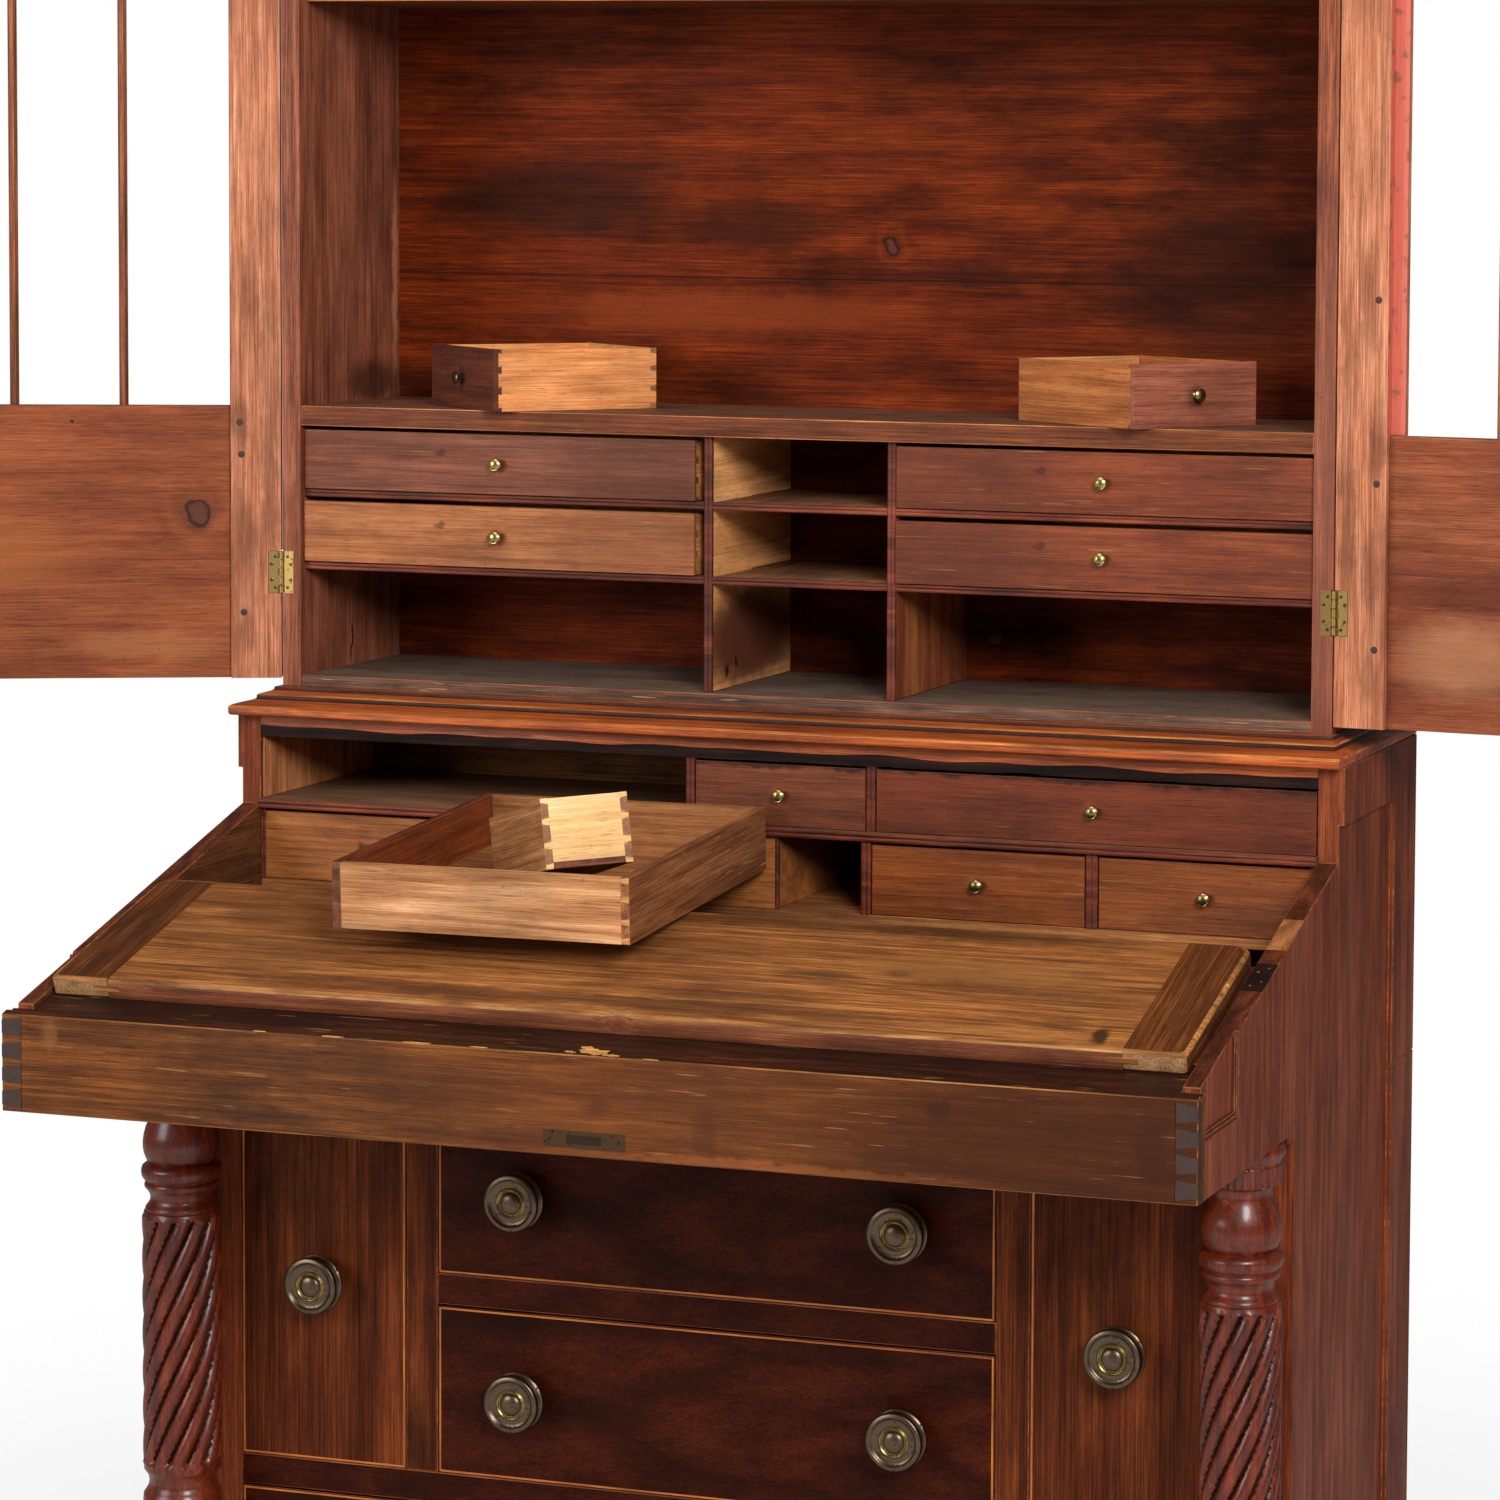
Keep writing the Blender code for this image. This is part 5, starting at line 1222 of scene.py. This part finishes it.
def big_drawer():
    """Drawer over the writing board with its front to the left, tipped on the board's rear edge."""
    width, depth, height, wall = 0.2825, 0.3290, big_height, big_wall
    left, right, back = wall - width, -wall, depth - wall
    mesh = bmesh.new()
    block(mesh, (left, 0.0002, 0.0), (right, wall, height - 0.0006), 0)
    block(mesh, (-width, 0, 0), (left, depth, height), 1)
    block(mesh, (left, 0.012, 0.012), (left + 0.0002, depth - 0.012, height - 0.003), 2)
    block(mesh, (right, 0, 0.0), (0, depth, height - 0.0003), 3)
    block(mesh, (left, back, 0), (right, depth, height - 0.0006), 4)
    block(mesh, (left, wall, 0.004), (right, back, 0.012), 4)
    for index in range(4):
        middle = min(max(height / 3 * index, 0.0032), height - 0.0032)
        for x0, x1, slot in ((-0.0079, -0.0001, 5), (-width + 0.0079, -width + 0.0001, 6)):
            outline = [(x0, middle - 0.0019), (x1, middle - 0.0029), (x1, middle + 0.0029),
                       (x0, middle + 0.0019)]
            prism(mesh, outline, "Y", (-0.00012, 0.0006), slot)
    finish("loose_big_drawer_box", mesh,
           [big_near_pine, big_front_wood, big_inner_red, big_right_wood, big_far_wood, bare_pine_across,
            dark_end,
            pine_end], "loose_big_drawer_body", big_place, 0.0007, 7,
           stands_for=("loose_big_drawer",))


def small_drawer():
    """Narrow drawer leaning in the big one, its back end up and towards the room."""
    turn = math.radians(40.1)
    width, depth, height, wall = 0.0790, 0.1733, 0.0626, 0.0068
    right, back = width - wall, depth - 0.0085
    lean = math.asin((big_height - 0.012) / depth)
    rise = 0.0048 / math.cos(turn) * math.tan(lean) + 0.0006
    place = (big_place @ Matrix.Translation((-0.0783, big_wall - 0.0048, big_height + rise))
             @ Matrix.Rotation(turn, 4, "Z") @ Matrix.Rotation(-lean, 4, "X"))
    mesh = bmesh.new()
    block(mesh, (wall, 0, 0.006), (right, 0.0065, height - 0.0004), 0)
    block(mesh, (0, 0, 0), (wall, depth, height), 1)
    block(mesh, (right, 0, 0), (width, depth, height), 1)
    block(mesh, (wall, back, 0), (right, depth, height), 2)
    block(mesh, (wall, 0.0002, 0.0015), (right, back, 0.006), 2)
    block(mesh, (wall + 0.001, -0.00015, 0.0001), (right - 0.001, 0.0008, 0.0020), 4)
    step = height / 3
    for index in range(3):
        low_z = step * (index + 0.20)
        high_z = step * (index + 0.80)
        for x0, x1 in ((0.0002, wall), (width - 0.0002, right)):
            outline = [(x0, low_z - 0.001), (x1, low_z + 0.001), (x1, high_z - 0.001), (x0, high_z + 0.001)]
            prism(mesh, outline, "Y", (-0.00015, 0.0008), 3)
    for index in range(4):
        middle = min(max(step * index, 0.0022), height - 0.0022)
        for x0, x1 in ((0.0001, wall + 0.0002), (width - 0.0001, right - 0.0002)):
            outline = [(x0, middle - 0.0020), (x1, middle - 0.0034), (x1, middle + 0.0034),
                       (x0, middle + 0.0020)]
            prism(mesh, [(x, min(max(z, 0.0002), height - 0.0002)) for x, z in outline], "Y",
                  (-0.0002, 0.0008), 0)
    finish("loose_small_drawer_box", mesh, [small_back_pine, small_side_pine, big_front_wood, small_end,
                                            worn_mahogany],
           "loose_small_drawer_body", place, 0.0004, stands_for=("loose_small_drawer",))


big_drawer()
small_drawer()


# Small fittings and damage on the desk

def on_slope(x, y, lift=0.0):
    """Point on the sloped top of the desk, lifted square to it."""
    z = slope_top + (y - row_front) * math.tan(slope_angle)
    return Vector((x, y - lift * math.sin(slope_angle), z + lift * math.cos(slope_angle)))


def lock_plate():
    """Plate on the desk rail with a dark slot and two pins."""
    mesh = bmesh.new()
    block(mesh, (-0.0293, desk_front - 0.0003, 0.6775), (0.0469, desk_front + 0.001, 0.6925), 0)
    block(mesh, (-0.0075, desk_front - 0.0005, 0.6812), (0.0250, desk_front + 0.001, 0.6890), 1)
    for x in (-0.0235, 0.0411):
        turned(mesh, [(0.0018, -0.0004), (0.0018, 0.0002), (0.0010, 0.0004)], 12,
               Matrix.Translation((x, desk_front - 0.0003, 0.685)) @ outward, 1)
    finish("lock_plate", mesh, [lock_brass, dark_iron], "case", arris=0.0002)


def rail_dovetails():
    """Ends of the desk sides' pins in the front rail, and the dark joint beside them."""
    mesh = bmesh.new()
    for side in (-1, 1):
        outer = side * case_half
        inner = outer - side * 0.0190
        for index in range(4):
            middle = desk_bottom + 0.012 + 0.0213 * index
            outline = [(outer, middle - 0.006), (inner, middle - 0.0085), (inner, middle + 0.0085),
                       (outer, middle + 0.006)]
            prism(mesh, outline, "Y", (desk_front - 0.00012, desk_front + 0.0004))
        block(mesh, (outer - side * 0.0197, desk_front - 0.0001, desk_bottom + 0.001),
              (outer - side * 0.0193, desk_front + 0.0006, 0.757), 1)
    finish("rail_dovetails", mesh, [rail_end_grain, joint_shadow], "case")


# Place along and across the rail, half width, half depth and seed of each shard
shards = ((0.0146, -0.4655, 0.0125, 0.0046, 1.0), (0.0320, -0.4700, 0.0070, 0.0016, 5.0),
          (-0.0060, -0.4690, 0.0050, 0.0014, 9.0), (0.0060, -0.4598, 0.0055, 0.0016, 13.0),
          (-0.0900, -0.4722, 0.0080, 0.0007, 17.0), (-0.1500, -0.4722, 0.0120, 0.0006, 21.0),
          (-0.2300, -0.4722, 0.0100, 0.0007, 25.0), (-0.3000, -0.4722, 0.0060, 0.0006, 29.0),
          (0.0700, -0.4722, 0.0070, 0.0006, 33.0))


def rail_splinter():
    """Ragged pale places where the rail's upper arris has split off."""
    mesh = bmesh.new()
    for x, y, wide, deep, seed in shards:
        ring = []
        for index in range(22):
            angle = 2 * math.pi * index / 22
            across, along = math.cos(angle), math.sin(angle)
            ragged = 1 + 0.75 * noise.noise(Vector((3 * across, 3 * along, seed)))
            spot = on_slope(x + wide * ragged * across, y + deep * ragged * along, 0.0003)
            spot.y = max(spot.y, desk_front + 0.0002)
            ring.append(mesh.verts.new(spot))
        mesh.faces.new(ring)
    moved = bmesh.ops.extrude_face_region(mesh, geom=list(mesh.faces))
    top = [item for item in moved["geom"] if isinstance(item, bmesh.types.BMVert)]
    bmesh.ops.translate(mesh, vec=(0, 0, -0.0008), verts=top)
    finish("rail_splinter", mesh, [splintered], "case")


def let_in(mesh, x0, x1, y0, y1, lift):
    """Thin plate let into the sloped edge of the right side."""
    corners = [on_slope(x, y, lift) for x, y in ((x0, y0), (x1, y0), (x1, y1), (x0, y1))]
    down = Vector((0, 0.0003, -0.0010))
    skin(mesh, [[mesh.verts.new(spot) for spot in corners],
                [mesh.verts.new(spot + down) for spot in corners]])


def slope_repairs():
    """Scorched seat of a lost hinge with its four screw holes, and a patch of other wood behind it."""
    mesh = bmesh.new()
    let_in(mesh, 0.5360, 0.5546, -0.2880, -0.2390, 0.0002)
    slope_up = Matrix.Rotation(slope_angle, 4, "X")
    for x, y in ((0.541, -0.279), (0.549, -0.271), (0.541, -0.254), (0.549, -0.247)):
        turned(mesh, [(0.0014, -0.0004), (0.0014, 0.0002), (0.0006, 0.0003)], 10,
               Matrix.Translation(on_slope(x, y, 0.0002)) @ slope_up, 1)
    finish("old_hinge_seat", mesh, [scorched, worn_rail], "case")
    mesh = bmesh.new()
    let_in(mesh, 0.5358, 0.5546, -0.2130, -0.1560, 0.00015)
    finish("slope_patch", mesh, [brown_pine], "case")


def recess_bead(side):
    """Two beads along the foot and up the rear of the shallow recess in a desk side."""
    low_y, corner_y, low_z = -0.4530, -0.3590, 0.7215
    face = side * (case_half - 0.0040)
    root = face - side * 0.001
    mesh = bmesh.new()
    for offset, width, reach in ((0.0, 0.0026, 0.0036), (0.0030, 0.0020, 0.0024)):
        y, z, proud = corner_y - offset, low_z + offset, face + side * reach
        block(mesh, (root, low_y, z), (proud, y, z + width))
        block(mesh, (root, y, z), (proud, y - width, on_slope(0, y).z - 0.001))
    finish("recess_bead_" + hand[side], mesh, [mahogany_deep, worn_mahogany], "case",
           arris=0.0007, worn=1)


def side_veneer(side):
    """Veneer carried over the joint under the desk, in the frame's coordinates so that the grain runs on."""
    face = side * case_half + shift.x
    mesh = bmesh.new()
    for low_y, high_y in ((-0.2000, 0.1030), (0.1100, 0.1800)):
        block(mesh, (face - side * 0.0020, low_y + shift.y, 0.6640),
              (face + side * 0.0002, high_y + shift.y, 0.6780))
    finish("side_veneer_" + hand[side], mesh, [mahogany_up], "case", Matrix.Identity(4))


lock_plate()
rail_dovetails()
rail_splinter()
slope_repairs()
recess_bead(-1)
recess_bead(1)
side_veneer(-1)
side_veneer(1)


# Camera, floor and light

def camera():
    data = bpy.data.cameras.new("camera")
    data.lens = 105.6
    data.sensor_width = 36.0
    data.shift_x = -0.3113
    data.shift_y = -0.1921
    data.clip_end = 60.0
    item = put("camera", data)
    yaw, pitch, roll = math.radians(16.7113), math.radians(3.6438), math.radians(0.5889)
    ahead = Vector((-math.sin(yaw) * math.cos(pitch), math.cos(yaw) * math.cos(pitch), -math.sin(pitch)))
    across = Vector((math.cos(yaw), math.sin(yaw), 0))
    above = across.cross(ahead)
    right = across * math.cos(roll) + above * math.sin(roll)
    up = above * math.cos(roll) - across * math.sin(roll)
    aimed = Matrix((right, up, -ahead)).transposed().to_4x4()
    item.matrix_world = Matrix.Translation((1.56224, -3.73874, 1.50504)) @ aimed
    bpy.context.scene.camera = item


def ground():
    """Round pale floor that turns into pure white before its edge, where the camera sees it."""
    mesh = bmesh.new()
    bmesh.ops.create_circle(mesh, cap_ends=True, segments=96, radius=9.0)
    data = bpy.data.meshes.new("floor")
    mesh.to_mesh(data)
    mesh.free()
    look, tree, shader, place = new_look("floor")
    feed(tree, shader, {"Base Color": srgb("e6e4e0"), "Roughness": 0.9})
    away = add(tree, "VectorMath", (place,), operation="LENGTH").outputs["Value"]
    far = add(tree, "MapRange", (away, 0.5, 2.2, 0.8), interpolation_type="SMOOTHSTEP")
    seen = add(tree, "LightPath").outputs["Is Camera Ray"]
    share = add(tree, "Math", (far, seen), operation="MULTIPLY")
    white = add(tree, "Emission", {"Color": (1, 1, 1, 1), "Strength": 1.0})
    mixed = add(tree, "MixShader", (share, shader, white))
    feed(tree, tree.nodes["Material Output"], {"Surface": mixed})
    data.materials.append(look)
    put("floor", data)


def lamp(name, place, aim, size, watts):
    data = bpy.data.lights.new(name, "AREA")
    data.shape = "RECTANGLE"
    data.size, data.size_y = size
    data.energy = watts
    item = put(name, data)
    item.location = place
    item.rotation_mode = "QUATERNION"
    item.rotation_quaternion = (Vector(aim) - Vector(place)).to_track_quat("-Z", "Y")


def light():
    """White world that the camera sees in full and that lights the piece softly, with three large lamps."""
    world = bpy.data.worlds.new("studio")
    bpy.context.scene.world = world
    world.use_nodes = True
    tree = world.node_tree
    seen = add(tree, "LightPath")
    plain = add(tree, "Math", (seen.outputs["Is Camera Ray"], seen.outputs["Is Transmission Ray"]),
                operation="MAXIMUM")
    strength = add(tree, "MapRange", {"Value": plain, "To Min": 0.11})
    feed(tree, tree.nodes["Background"], {"Color": (1, 1, 1, 1), "Strength": strength})
    lamp("key", (2.6, -3.4, 2.9), (0.1, 0.0, 1.0), (1.4, 1.4), 190)
    lamp("fill", (-2.6, -3.2, 2.0), (0.0, 0.0, 1.0), (1.8, 1.8), 80)
    lamp("top", (0.0, -1.6, 3.9), (0.0, -0.1, 1.0), (2.0, 1.4), 36)
    bpy.context.scene.view_settings.view_transform = "Standard"


camera()
ground()
light()
